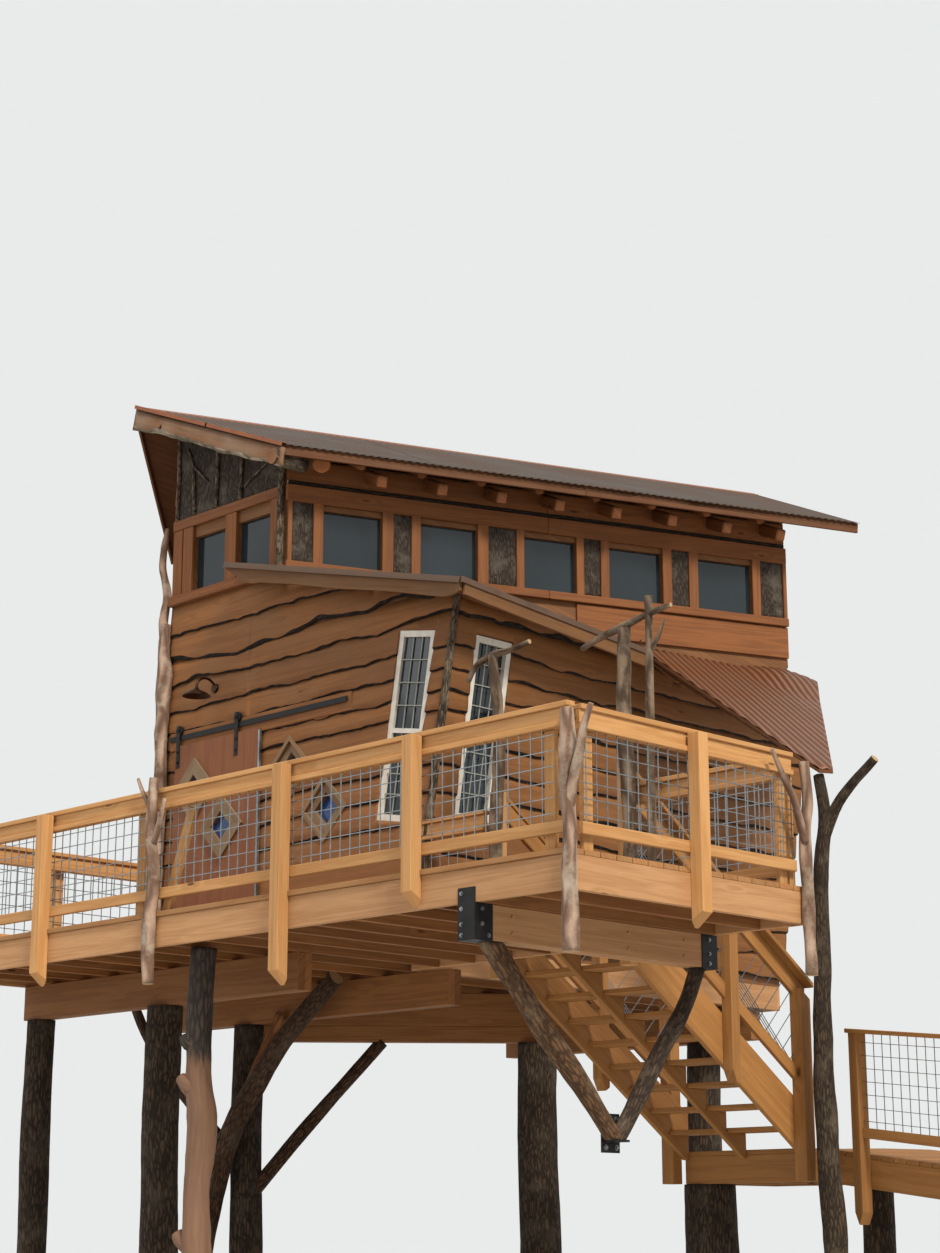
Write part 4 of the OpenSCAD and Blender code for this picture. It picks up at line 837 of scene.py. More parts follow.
bars, casing = bmesh.new(), bmesh.new()
casing_wood = timber("casing timber", "966335", "6c4322", "3f2412", spread=0.18)
bar_paint = new_finish("glazing bar paint", Roughness=0.5, Base_Color=paint("8b8d84"))[0]
low_left, low_near = Vector((-4.42, wall_y, 1.03)), Vector((right_x, 2.69, 0)) + lean_up * 1.015
wide, inset, sash = 0.44, 0.055, 0.745
pane_w = wide - 2 * inset
for corner, across, out, high in ((low_left, lean_away, -Y, 1.62), (low_near, Y, lean_away, 1.55)):
    on_glass, on_wall = corner + out * 0.012, corner + out * 0.002
    for low, top in ((inset, sash), (sash + 0.04, high - inset)):
        for k in (1, 2):
            board(bars, on_glass + across * (inset + pane_w * k / 3 - 0.005) + lean_up * low,
                  lean_up, across, top - low, 0.009, 0.008, 0)
        for k in (1, 2, 3):
            board(bars, on_glass + across * inset + lean_up * (low + (top - low) * k / 4 - 0.005),
                  across, lean_up, pane_w, 0.01, 0.008, 0)
    for left, width in ((-0.072, 0.068), (wide + 0.004, inset)):
        board(casing, on_wall + across * left - lean_up * 0.01, lean_up, across, high + 0.015, width, -0.05, 0.005)
    for rise, thick in ((high + 0.006, 0.055), (-inset, 0.058)):
        board(casing, on_wall - across * 0.08 + lean_up * rise, across, lean_up, wide + 0.145, 0.05, thick, 0.005)
settle(bars, "glazing_bars", [bar_paint], "white_frame")


def square_frame(bm, centre, outer, inner, y0, thick):
    """Four boards mitred into a square that stands on its corner."""
    for k in range(4):
        turn = math.pi / 4 + k * math.pi / 2
        away = Vector((math.cos(turn), 0, math.sin(turn)))
        along = Vector((-math.sin(turn), 0, math.cos(turn)))
        start = centre + away * inner - along * outer
        start.y = y0
        side = bmesh.new()
        board(side, start, along, away, 2 * outer, outer - inner, thick, 0.0)
        for sign in (1, -1):
            trim(side, centre, along * sign - away)
        join(bm, side)


frame_wood = timber("weathered frame boards", "937452", "69503a", "40301f", spread=0.22, weather="85775f")
squares = bmesh.new()
for x, z in diamonds:
    square_frame(squares, Vector((x, 0, z)), 0.212, 0.176, wall_y - 0.039, 0.037)
    square_frame(squares, Vector((x, 0, z)), 0.176, 0.105, wall_y - 0.008, 0.05)
settle(squares, "wall_diamond_frames", [frame_wood], "old_timber", "diamond_frames")


# The sliding door: one flat panel of reddish boards hung from a black steel track on two
# strap hangers with wheels, with two square panes set on their corners.
def eased_edges(segments):
    return "BEVEL", {"width": 0.004, "segments": segments, "limit_method": "ANGLE"}


panel_y, door_panes = 2.38, ((-6.84, 1.61), (-6.43, 1.22))
quarter = Matrix.Rotation(math.pi / 2, 4, "X")
door_paint = timber("red-brown door", "8b5837", "71442b", "4a2b19", spread=0.04, rings=3.0, along="z", knots=0.0)
panel, door_trim, strip, straps, track_board = (bmesh.new() for k in range(5))
panel_place = Matrix.Translation((-6.55, panel_y, 1.0425)) @ quarter @ Matrix.Diagonal((1.2, 2.035, 1, 1))
bmesh.ops.create_grid(panel, x_segments=8, y_segments=12, size=0.5, matrix=panel_place)


def door_face(u, z, out):
    return Vector((u, panel_y - out, z))


for x, z in door_panes:
    cut_opening(panel, door_face, (x, z), 0.105, 0.105, math.pi / 4)
    square_frame(door_trim, Vector((x, 0, z)), 0.21, 0.1, panel_y - 0.026, 0.0255)
settle(panel, "door_slab", [door_paint], "door_red", "door_panel", body="barn_door", facing=-Y,
       shape=[plate(0.026), eased_edges(2)])
settle(door_trim, "door_diamond_frames", [frame_wood], "old_timber", body="barn_door")
board(strip, (-5.948, panel_y - 0.004, 0.06), Z, X, 1.98, 0.02, 0.03, 0.002)
settle(strip, "door_edge_strip", [zinc_steel], "black_steel", body="barn_door")
carry(black_steel, "door_hangers", "door_track")
for x in (-7.1075, -6.2575):
    for z, size in ((1.9, 0.011), (2.0, 0.011), (2.205, 0.014)):
        bolt(straps, (x, 2.372, z), -Y, size=size)
settle(straps, "hanger_bolts", [black_steel], "black_steel", body="barn_door")
board(track_board, (-7.27, 2.406, 2.03), X, Z, 2.53, 0.17, -0.044, 0.005)
settle(track_board, "track_backing_board", [casing_wood], "new_timber")


# The lamp over the door: a wide shallow shade on a short bent arm, in dark aged copper. The
# arm comes out of a round plate on the wall.
aged_copper = metal("aged copper", "21160f", "5a3923", rough=0.42, metallic=0.85, scale=18.0)
lamp = bmesh.new()
profile = ((0.018, 0.02), (0.03, 0.0), (0.06, -0.014), (0.1, -0.032), (0.128, -0.055), (0.13, -0.061),
           (0.125, -0.058), (0.095, -0.04), (0.05, -0.022), (0.012, -0.01))
ring = [lamp.verts.new((r, 0, z)) for r, z in profile]
edges = [lamp.edges.new(pair) for pair in zip(ring, ring[1:])]
bmesh.ops.spin(lamp, geom=ring + edges, cent=(0, 0, 0), axis=Z, angle=2 * math.pi, steps=36, use_merge=True)
bmesh.ops.translate(lamp, verts=lamp.verts, vec=(-6.58, 2.16, 2.475))
limb(lamp, [(-6.62, 2.43, 2.535), (-6.61, 2.34, 2.6), (-6.59, 2.24, 2.6), (-6.58, 2.17, 2.55), (-6.58, 2.16, 2.48)],
     [0.012, 0.012, 0.012, 0.013, 0.016], 12, 0.025, 0)
bmesh.ops.create_cone(lamp, cap_ends=True, segments=24, radius1=0.045, radius2=0.036, depth=0.024,
                      matrix=Matrix.Translation((-6.62, 2.4, 2.535)) @ quarter)
for face in lamp.faces:
    face.smooth = len(face.verts) == 4
settle(lamp, "barn_lamp_shade", [aged_copper], "copper", "barn_lamp")


# The upper storey: bark slabs nailed between unpeeled poles, over a row of panes in rough
# sawn frames, on the front and along the slanting long wall.
turn_sin, turn_cos = math.sin(math.radians(21.8)), math.cos(math.radians(21.8))
ridge_way, fall_way = Vector((turn_sin, turn_cos, 0)), Vector((turn_cos, -turn_sin, 0))
knee = Vector((knee_x, wall_y, 0))
slab_bark = bark("bark slabs", "2a221c", "4c4036", "676054", furrow=46.0, depth=0.005, patches=0.5)
pole_bark = bark("bark poles", "2c231b", "75644f", "8f8370", furrow=40.0, depth=0.003, patches=0.45)


def long_wall(u, z, out):
    return knee + ridge_way * u + fall_way * out + Z * z


def bark_slab(bm, where, u0, u1, low, high, out=0.012):
    """A sheet of bark nailed flat, with its own swells."""
    points, faces, grain = new_grid(bm, max(2, round((u1 - u0) / 0.04)), max(2, round((high - low) / 0.05)))
    shift = chance.random() * 30
    for face in faces:
        face.smooth = True
        for corner in face.loops:
            spot = corner.vert.co
            corner[grain].uv = ((spot.y + 0.5) * (high - low) + shift, (spot.x + 0.5) * (u1 - u0) + shift)
    for v in points:
        u, z = u0 + (u1 - u0) * (v.co.x + 0.5), low + (high - low) * (v.co.y + 0.5)
        v.co = where(u, z, out + 0.008 * noise.noise(Vector((u * 9, z * 4, shift))))


slabs = bmesh.new()
for u0, u1 in ((left_x, -6.73), (-6.7, -6.36), (-6.33, -5.78)):
    bark_slab(slabs, front, u0, u1, 4.28, 5.4)
for u0, u1 in ((0.02, 0.24), (1.0, 1.22), (1.96, 2.3), (2.96, 3.18), (3.9, 4.14), (4.88, 5.19)):
    bark_slab(slabs, long_wall, u0, u1, 3.56, 4.16)
clear_of_roofs(slabs, gap=0.01, trees=(2, 3), floor_z=3.5)
settle(slabs, "bark_slabs", [slab_bark], "bark_board", shape=[plate(0.012)], facing=fall_way - Y)


def below_roof(x, y):
    """The height of a pole's top under the main roof."""
    heights = [plumb_hit(tree, Vector((x, y, 0)), 3.6, Z) for tree in sky[2:4]]
    return min([height for height in heights if height is not None] or [4.9]) - 0.02


poles, dark_edge = bmesh.new(), bmesh.new()
for x in (-7.3, -6.71, -6.35):
    limb(poles, [(x, 2.425, 4.32), (x + 0.012, 2.42, 4.32 + 0.4), (x - 0.01, 2.425, below_roof(x, wall_y - 0.03))],
         [0.02, 0.019, 0.018], 10, 0.06, 0.14, 5)
corner_x = right_x + 0.03
limbs(poles,
      ([(-5.74, 2.41, 3.46), (-5.735, 2.405, 4.1), (-5.745, 2.41, below_roof(-5.72, wall_y - 0.05))],
       [0.035, 0.033, 0.032], 12, 0.05, 0.16, 5),
      ([(-7.16, 2.425, 5.0), (-7.07, 2.42, 4.8), (-7.05, 2.42, 4.55), (-7.04, 2.425, 4.33)],
       [0.013, 0.016, 0.018, 0.018], 9, 0.05, 0.15, 6),
      ([(-7.06, 2.42, 4.8), (-6.95, 2.42, 4.7), (-6.82, 2.425, 4.58)], [0.016, 0.013, 0.01], 9, 0.05, 0.15, 6),
      ([(-6.29, 2.425, 4.42), (-6.08, 2.42, 4.53), (-5.86, 2.425, 4.62)], [0.012, 0.014, 0.012], 9, 0.05, 0.15, 6),
      ([(corner_x, 2.42, 0.01), (corner_x + 0.9 * lean, 2.415, 0.9), (corner_x - 0.005 + 1.9 * lean, 2.42, 1.9),
        (corner_x + 2.82 * lean, 2.42, 2.82)], [0.034, 0.032, 0.034, 0.03], 12, 0.06, 0.16, 5))
settle(poles, "bark_poles", [pole_bark, sawn_end], "log_bark")
limb(dark_edge, [long_wall(*spot) for spot in ((-0.02, 4.325, 0.022), (1.7, 4.318, 0.026), (3.4, 4.328, 0.022),
                                               (5.2, 4.322, 0.022))], [0.016, 0.019, 0.015, 0.014], 10, 0.05, 0.2, 5)
settle(dark_edge, "upper_bark_edge", [live_bark, sawn_end], "log_bark")

upper = bmesh.new()
upper_wood = timber("upper frame timber", "925b30", "673c1d", "3b200f", spread=0.16)
board(upper, (left_x - 0.005, wall_y - 0.045, 4.2), X, Z, 1.6, 0.1, -0.04, 0.005)
board(upper, (left_x - 0.02, wall_y - 0.075, 3.45), X, Z, 1.66, 0.09, -0.07, 0.006)
for u0, u1 in ((-7.335, -7.2), (-7.185, -7.04), (-6.55, -6.39), (-5.9, -5.8)):
    board(upper, (u0, wall_y - 0.035, 3.54), Z, X, 0.66, u1 - u0, 0.035)
for u0, u1, low, wide, out, edge in ((-0.03, 2.6, 4.14, 0.16, 0.04, 0.005), (2.602, 5.22, 4.14, 0.16, 0.04, 0.005),
                                     (-0.03, 2.6, 3.49, 0.08, 0.055, 0.005), (2.602, 5.22, 3.49, 0.08, 0.055, 0.005),
                                     (2.9, 5.22, 3.17, 0.31, 0.028, 0.004)):
    board(upper, long_wall(u0, low, 0.0), ridge_way, Z, u1 - u0, wide, out, edge)
for u0, u1 in ((-0.01, 0.03), (0.235, 0.33), (0.91, 1.02), (1.2, 1.29), (1.87, 1.98), (2.27, 2.35), (2.9, 2.98),
               (3.16, 3.25), (3.83, 3.93), (4.12, 4.22), (4.83, 4.92), (5.18, 5.22)):
    board(upper, long_wall(u0, 3.565, 0.0), Z, ridge_way, 0.58, u1 - u0, -0.034)
for u0, u1 in ((-0.02, 2.6), (2.603, 5.21)):
    board(upper, long_wall(u0, 4.345, 0.0), ridge_way, Z, u1 - u0, 0.2, 0.02)
settle(upper, "upper_frame_timbers", [upper_wood], "old_timber", "clerestory_frames")


# The main roof: ribbed metal sheets over boards, laid down both slopes from a capped ridge,
# with round rafters and square tails under the eave and a live-edge board along the front.
ridge_start = Vector((left_x - 0.08 - 0.35 * turn_sin / turn_cos, 2.1, 5.45))
low_fall, steep_fall = math.tan(math.radians(24.4)), math.tan(math.radians(56))
ridge_len, roof_run = 6.83, 2.06
# The dark colour given for the ribs paints shade on one flank of every rib.
roof_metal = metal("weathered roof metal", "584936", "85573d", rough=0.62, metallic=0.2, scale=1.1, spread=0.4,
                   rib_shade="1c1510")
bright_copper = metal("rust-orange flashing", "7d4527", "9a5f38", rough=0.45, metallic=0.5, scale=5.0)
carry(timber("roof boards", "6f4422", "4b2c16", "2c190c", along="y", spread=0.1), *roofs)
carry(bright_copper, "ridge_cap")


def roof_point(s, d, lift=0.0):
    """A point on the main roof: s along the ridge, d out from it, positive on the long side."""
    fall = -d * low_fall if d > 0 else d * steep_fall
    return ridge_start + ridge_way * s + fall_way * d + Z * (fall + lift)


def sheeting(bm, outline, tree, way, rib=0.0763, high=0.009, lift=0.001, seed=1.0, inside=None):
    """Ribbed sheets over a roof: a fine grid dropped on it, with ribs across a direction, sawn to an outline."""
    made = bmesh.new()
    outline = [Vector((p[0], p[1], 0)) for p in outline]
    middle = sum(outline, Vector()) / len(outline)
    along = Vector((-way.y, way.x, 0))
    spans = [(min((p - middle).dot(d) for p in outline) - 0.02, max((p - middle).dot(d) for p in outline) + 0.02)
             for d in (way, along)]
    wide, long = (b - a for a, b in spans)
    centre = middle + way * (spans[0][0] + spans[0][1]) / 2 + along * (spans[1][0] + spans[1][1]) / 2
    turn = Matrix((way, along, Z)).transposed().to_4x4()
    bmesh.ops.create_grid(made, x_segments=max(4, round(wide / (rib / 6))), y_segments=max(2, round(long / 0.16)),
                          size=0.5, matrix=Matrix.Translation(centre) @ turn @ Matrix.Diagonal((wide, long, 1, 1)))
    for v in made.verts:
        swell = 0.0007 * noise.noise(Vector((v.co.x * 1.7, v.co.y * 1.7, seed)))
        wave_at = 0.5 + 0.5 * math.sin(2 * math.pi * v.co.dot(way) / rib)
        v.co.z = height_on(tree, v.co, inside or middle) + lift + high * wave_at + swell
    for a, b in zip(outline, outline[1:] + outline[:1]):
        away = (b - a).cross(Z).normalized()
        cut_off(made, a, away if (middle - a).dot(away) < 0 else -away)
    grain = made.loops.layers.uv.verify()
    for face in made.faces:
        face.smooth = True
        for corner in face.loops:
            corner[grain].uv = (corner.vert.co.dot(way) / rib, corner.vert.co.dot(along) + seed)
    join(bm, made)


thin_sheet = [plate(0.001, 1.0)]
metal_roof, steep_sheets = bmesh.new(), bmesh.new()
for s0, s1, lift in ((-0.02, 2.35, 0.001), (2.3, 4.6, 0.0022), (4.55, 6.85, 0.001)):
    corners = [roof_point(s, d) for s, d in ((s0, 0.03), (s0, 2.085), (s1, 2.085), (s1, 0.03))]
    if s0 < 0:
        for i in (0, 1):
            corners[i] = corners[i] + ridge_way * ((ridge_start.y - 0.012 - corners[i].y) / turn_cos)
    sheeting(metal_roof, corners, sky[2], ridge_way, lift=lift, seed=s0)
settle(metal_roof, "long_slope_sheets", [roof_metal], "roof_metal", shape=thin_sheet, facing=Z)
steep_corner, ridge_end = ridge_start + Vector((-0.5, 0.866, 0)), roof_point(ridge_len, 0)
sheeting(steep_sheets, [ridge_start, ridge_end, ridge_end - fall_way * 0.9, (steep_corner.x + 0.12, back_y + 0.35),
                        steep_corner], sky[3], ridge_way, seed=9.0)
settle(steep_sheets, "steep_slope_sheets", [roof_metal], "roof_metal", shape=thin_sheet, facing=Z)

tails, square_tails = bmesh.new(), bmesh.new()
rafter_wood = timber("rafter timber", "89542c", "5e371b", "371e0c", spread=0.15)
rafter_end = timber("sawn rafter ends", "9c602f", "74431f", "452811", spread=0.2)
for k in range(9):
    s = 1.2 + 0.6 * k
    at, start, end, size = (s - 0.17, -0.105, 1.87, 0.044) if k else (s, -0.13, 2.0, 0.078)
    start_at, end_at = roof_point(at, 0.3, start), roof_point(at, end, start - 0.012)
    limb(tails, [start_at, start_at.lerp(end_at, 0.6), end_at], [size * 0.95, size * 0.95, size], 22, 0.25, 0.05)
down_slope = (roof_point(0, 1.0) - roof_point(0, 0.5)).normalized()
for k in range(1, 9):
    board(square_tails, roof_point(1.15 + 0.6 * k, 1.62, -0.178), down_slope, ridge_way, 0.4, 0.1, -0.115, 0.012)
join(tails, square_tails)
settle(tails, "rafter_tails", [rafter_wood, rafter_end], "old_timber", "rafters")

edges_of_roof = bmesh.new()
eave_wood = timber("eave board", "744524", "502d15", "2e1a0b", spread=0.15, weather="674a31")
eave_a, eave_b = Vector((ridge_start.x + roof_run / turn_cos, ridge_start.y, 0)), roof_point(ridge_len, roof_run)
eave_a.z = eave_b.z = roof_point(0, roof_run).z
way, length = (eave_b - eave_a).normalized(), (eave_b - eave_a).length
for k in range(2):
    board(edges_of_roof, eave_a + way * (length / 2 * k) - Z * 0.096, way, Z, length / 2 - 0.002, 0.093, -0.028)
rake_way = steep_corner + Z * (-0.786 * steep_fall) - ridge_start
board(edges_of_roof, ridge_start - Z * 0.16 + Y * 0.004, rake_way, Z, rake_way.length - 0.02, 0.09, -0.024, 0.003)
settle(edges_of_roof, "eave_boards", [eave_wood], "old_timber", "main_fascia")


def gable_line(u, h, out):
    """Beside the roof's front edge: u to the right of the ridge, h over the roof's upper face."""
    return Vector((ridge_start.x + u, ridge_start.y - out, ridge_start.z - u * turn_cos * low_fall + h))


rake, rake_log, flashing = bmesh.new(), bmesh.new(), bmesh.new()
live_edge(rake, gable_line, 0.0, 2.24, -0.215, -0.03, 131, wide_bark=0.035, lap=0.0)
grey_edge = timber("rake board", "8a5c38", "634024", "3c2513", spread=0.15, weather="8f806c")
worn_edge = bark("weathered live edge", "5f5344", "a3957f", "b5a892", furrow=18.0, depth=0.003, patches=0.5)
settle(rake, "live_edge_rake_board", [grey_edge, worn_edge], "old_timber", shape=[plate(0.022, 0.0)], facing=-Y)
limb(rake_log, [gable_line(2.13, -0.14, out) for out in (-0.3, -0.05, 0.075)], [0.07, 0.072, 0.072], 22, 0.06, 0.08, 4)
settle(rake_log, "rake_log_end", [pole_bark, grey_edge], "log_bark")


def between(bm, a, b, *strips):
    """Boards from one point to another, each from its offset, face, width, thickness and edge."""
    run = (b - a).normalized()
    for off, face, wide, thick, edge in strips:
        board(bm, a + off, run, face, (b - a).length, wide, thick, edge)


for u0, u1 in ((0.0, 1.13), (1.11, 2.23)):
    between(flashing, gable_line(u0, 0.013, 0.05), gable_line(u1, 0.013, 0.05),
            (Z * 0, Y, 0.12, 0.003, 0), (-Z * 0.035, Z, 0.035, 0.003, 0))
settle(flashing, "rake_flashing", [bright_copper], "copper")


# The lower roof over the door side: a warped slope of ribbed sheets that swings down to the
# right, edged with a carved board under a folded drip of brown metal.
shed_left, shed_front, shed_right = knee_x - 0.53, wall_y - 0.26, right_x + 0.81
drip_metal = metal("brown drip edge", "55402f", "6d5140", rough=0.5, metallic=0.35, scale=6.0)
fascia_wood = timber("lower roof fascia", "7f5630", "5a3a1f", "372011", spread=0.12, weather="6e5234")


def shed_line(x):
    return 3.6 - (x - shed_left) * 0.2525


fascia, eave_side, drip = bmesh.new(), bmesh.new(), bmesh.new()
points, faces, grain = new_grid(fascia, 60, 3)
for face in faces:
    for corner in face.loops:
        corner[grain].uv = (corner.vert.co.x * 3.06, corner.vert.co.y * 0.2 + 13)
curl, tip = 0.16, 0.93
for v in points:
    k, h = v.co.x + 0.5, v.co.y + 0.5
    x = shed_left + (shed_right - shed_left) * k
    depth = 0.165 + 0.012 * noise.noise(Vector((x * 1.6, 0, 4)))
    if k < curl:
        depth -= 0.1 * (math.cos(k / curl * math.pi) * 0.5 + 0.5) - 0.045 * math.sin(k / curl * math.pi)
    if k > tip:
        depth -= 0.06 * ((k - tip) / 0.07) ** 2
    v.co = Vector((x, shed_front - 0.029, shed_line(x) + 0.01 - depth * (1 - h)))
settle(fascia, "carved_fascia", [fascia_wood], "old_timber", "shed_fascia", facing=-Y,
       shape=[plate(0.028), eased_edges(2)])


def shed_end(off, y, fall):
    """A point off the lower roof's right end, at its height there less a fall."""
    return Vector((shed_right + off, y, shed_line(shed_right) - fall))


bend = shed_end(0.001, wall_y, 0.16)
for a, b in ((shed_end(0.001, shed_front, 0.13), bend), (bend, Vector((shed_right + 0.001, 4.46, 2.485)))):
    between(eave_side, a, b, (Z * 0, Z, 0.14, 0.028, 0.003))
settle(eave_side, "lower_eave_board", [fascia_wood], "old_timber")
between(drip, Vector((shed_left - 0.01, shed_front - 0.045, shed_line(shed_left) + 0.012)),
        shed_end(0.01, shed_front - 0.045, -0.012), (Z * 0, Y, 0.16, 0.003, 0), (-Z * 0.045, Z, 0.048, 0.004, 0.001),
        (-Z * 0.05 - Y * 0.006, Z, 0.008, 0.01, 0.001))
bend = shed_end(0.012, wall_y, 0.022)
for a, b in ((shed_end(0.012, shed_front - 0.04, -0.006), bend), (bend, Vector((shed_right + 0.012, 4.48, 2.635)))):
    between(drip, a, b, (-Z * 0.04, Z, 0.05, 0.03, 0.001))
settle(drip, "drip_edges", [drip_metal], "roof_metal")

shed_sheets, lean_sheets = bmesh.new(), bmesh.new()
wall_end = long_wall(3.4, 0, 0.002)
sheeting(shed_sheets, [(knee_x - 0.104, shed_front), (shed_right, shed_front), (shed_right, 4.5), wall_end,
                       (knee_x + 0.02, wall_y + 0.03)], sky[0], Y, seed=3.0)
sheeting(shed_sheets, [(shed_left, shed_front), (knee_x - 0.1, shed_front), (knee_x - 0.03, wall_y - 0.026),
                       (shed_left, wall_y - 0.026)], sky[0], Y, seed=5.0)
settle(shed_sheets, "lower_slope_sheets", [roof_metal], "roof_metal", shape=thin_sheet, facing=Z)
down = math.atan2(-1.95, 2.89)
# The dark colour given for the ribs paints shade on one flank of every rib.
copper_sheet = metal("rust-orange roof sheet", "8a5230", "6b5236", rough=0.5, metallic=0.3, scale=1.3, spread=0.4,
                     rib_shade="54301a")
sheeting(lean_sheets, [wall_end, (-3.16, 4.501), (-1.29, 4.4), (-1.23, 4.51), (-3.42, 7.33), (-3.74, 7.33)], sky[1],
         Vector((-math.sin(down), math.cos(down), 0)), high=0.012, seed=7.0, inside=lean_middle)
for v in lean_sheets.verts:
    v.co.z += 0.09 * min(1.0, max(0.0, 1.5 - math.hypot(v.co.x + 3.5, v.co.y - 7.05) / 0.35))
settle(lean_sheets, "lean_to_sheets", [copper_sheet], "roof_metal", shape=thin_sheet, facing=Z)


# The railing: sawn posts with pointed feet hung outside the rim, a flat cap on edge rails,
# a low rail, and panels of welded galvanised mesh between them.
rail_wood = timber("railing timber", "cfa069", "a97440", "5e3c22", spread=0.16)
rail_h, cap_t, post_s, edge_w = 0.945, 0.035, 0.1, 0.089
galvanised = metal("galvanised mesh", "74797c", "a2a7a9", rough=0.4, metallic=0.9, scale=40.0)
carry(galvanised, "front_mesh_right", "front_mesh_left", "right_mesh", "side_mesh")


def rail_run(bm, corner, run, out, length):
    """Cap, edge rail, flat rail and low rail along one side, with the cap's outer edge on the line."""
    corner, inward = Vector(corner), -out
    sign = 1 if run.cross(inward).z > 0 else -1
    for foot, face, wide, thick in ((Z * (rail_h - cap_t), inward, 0.08, cap_t),
                                    (inward * 0.02 + Z * (rail_h - cap_t - edge_w), Z, edge_w, -0.038),
                                    (Z * (rail_h - cap_t - edge_w - 0.038), inward, 0.069, 0.038),
                                    (Z * 0.1, Z, 0.08, -0.038)):
        board(bm, corner + foot, run, face, length, wide, thick * sign)


rails, posts, inner = bmesh.new(), bmesh.new(), bmesh.new()
for low, high in ((left_x, -5.65), (-5.65, -2.73), (-2.73, 0.0)):
    rail_run(rails, (low, 0, 0), X, -Y, high - low - 0.001)
rail_run(rails, (0, 0.14, 0), Y, X, 2.21)
rail_run(rails, (left_x, 2.29, 0), -Y, -X, 2.15)
rail_run(rails, (-1.65, deck_depth, 0), X, Y, 1.51)
rail_run(rails, (right_x + 0.06, deck_depth, 0), X, Y, 0.8)
settle(rails, "railing_boards", [rail_wood], "new_timber", "railing_rails")

for x, foot in ((-1.38, -0.25), (-2.73, -0.66), (left_x + 1.68, -0.45), (left_x + 0.05, -0.45)):
    post = bmesh.new()
    board(post, (x - 0.05, -0.1, foot), Z, X, rail_h - cap_t - foot, post_s, post_s)
    trim(post, (x, 0, foot), (0, -1, -1))
    for sign in (1, -1):
        trim(post, (x + 0.03 * sign, -0.05, foot + 0.05), (0.9 * sign, -0.35, -0.6))
    join(posts, post)
for x, y, side in ((0, 1.185, 1), (left_x, 1.225, -1)):
    post = bmesh.new()
    board(post, (x, y, -0.4), Z, Y, rail_h - cap_t + 0.4, post_s, -post_s * side)
    trim(post, (x, 0, -0.4), (side, 0, -1))
    for sign in (1, -1):
        trim(post, (x + 0.05 * side, y + 0.05 + 0.03 * sign, -0.35), (0.35 * side, 0.9 * sign, -0.6))
    join(posts, post)
for x in (-1.65, -3.01):
    board(posts, (x, deck_depth, -0.4), Z, Y, rail_h + 0.15 + 0.4, post_s, post_s)
settle(posts, "railing_posts_sawn", [rail_wood], "new_timber", "railing_posts")
stud_top = rail_h - cap_t - 0.13
for x, y, run, face, length, wide in ((-0.25, 0.05, Z, X, stud_top, 0.09), (-4.54, 0.05, Z, X, stud_top, 0.1),
                                      (-4.22, 0.05, (0.3, 0, 0.8), X, 0.83, 0.09), (-0.05, 0.2, Z, Y, stud_top, 0.09),
                                      (-0.05, 2.22, Z, Y, stud_top, 0.08), (-0.05, 2.33, Z, Y, stud_top, 0.06)):
    board(inner, (x, y, 0.0), run, face, length, wide, 0.038, 0.003)
settle(inner, "inner_studs", [rail_wood], "new_timber")


# The natural posts: peeled and silvered trunks with forks and stubs left on, at the deck's
# corners, beside the stair's head and at the cabin's corner up to the roof.
silver_wood = bark("silvered peeled wood", "6a5141", "b09580", "c9bba6", furrow=9.0, depth=0.003, patches=0.4)
porch_wood = bark("grey-brown peeled wood", "44362a", "86715c", "9c8c77", furrow=10.0, depth=0.003, patches=0.4)
naturals, gate, corner, fork = bmesh.new(), bmesh.new(), bmesh.new(), bmesh.new()
limbs(naturals,
      ([(0.035, -0.03, -0.66), (0.028, -0.028, -0.25), (0.036, -0.03, 0.12), (0.02, -0.03, 0.4), (0.035, -0.035, 0.62),
        (0.025, -0.03, 0.88)], [0.056, 0.05, 0.046, 0.058, 0.062, 0.04], 26, 0.045, 0.16, 4.5),
      ([(0.03, -0.035, 0.22), (0.1, -0.05, 0.42), (0.17, -0.06, 0.62), (0.2, -0.06, 0.74), (0.26, -0.06, 0.87)],
       [0.036, 0.034, 0.027, 0.023, 0.018], 16, 0.04, 0.16, 6),
      (upright(-0.045, (-4.22, -0.54), (-4.24, -0.1), (-4.2, 0.25), (-4.25, 0.6), (-4.23, 1.02)),
       [0.044, 0.05, 0.048, 0.046, 0.036], 24, 0.05, 0.16, 4),
      ([(-4.22, -0.045, 0.5), (-4.13, -0.06, 0.66), (-4.07, -0.065, 0.84)], [0.026, 0.021, 0.016], 12, 0.05, 0.14, 5),
      ([(-4.26, -0.045, 0.78), (-4.36, -0.05, 0.92), (-4.43, -0.05, 1.04)], [0.02, 0.016, 0.012], 12, 0.04, 0.14, 5),
      ([(0.048, 2.4, -0.62), (0.05, 2.4, -0.1), (0.042, 2.39, 0.32), (0.055, 2.42, 0.62), (0.045, 2.41, 0.88)],
       [0.046, 0.042, 0.046, 0.04, 0.036], 22, 0.05, 0.16, 4),
      ([(0.06, 2.37, 0.3), (0.08, 2.24, 0.57), (0.085, 2.12, 0.72), (0.08, 2.0, 0.91)],
       [0.03, 0.024, 0.021, 0.014], 14, 0.04, 0.14, 6))
settle(naturals, "balcony_natural_posts", [silver_wood, sawn_end], "peeled_log", "balcony_logs")
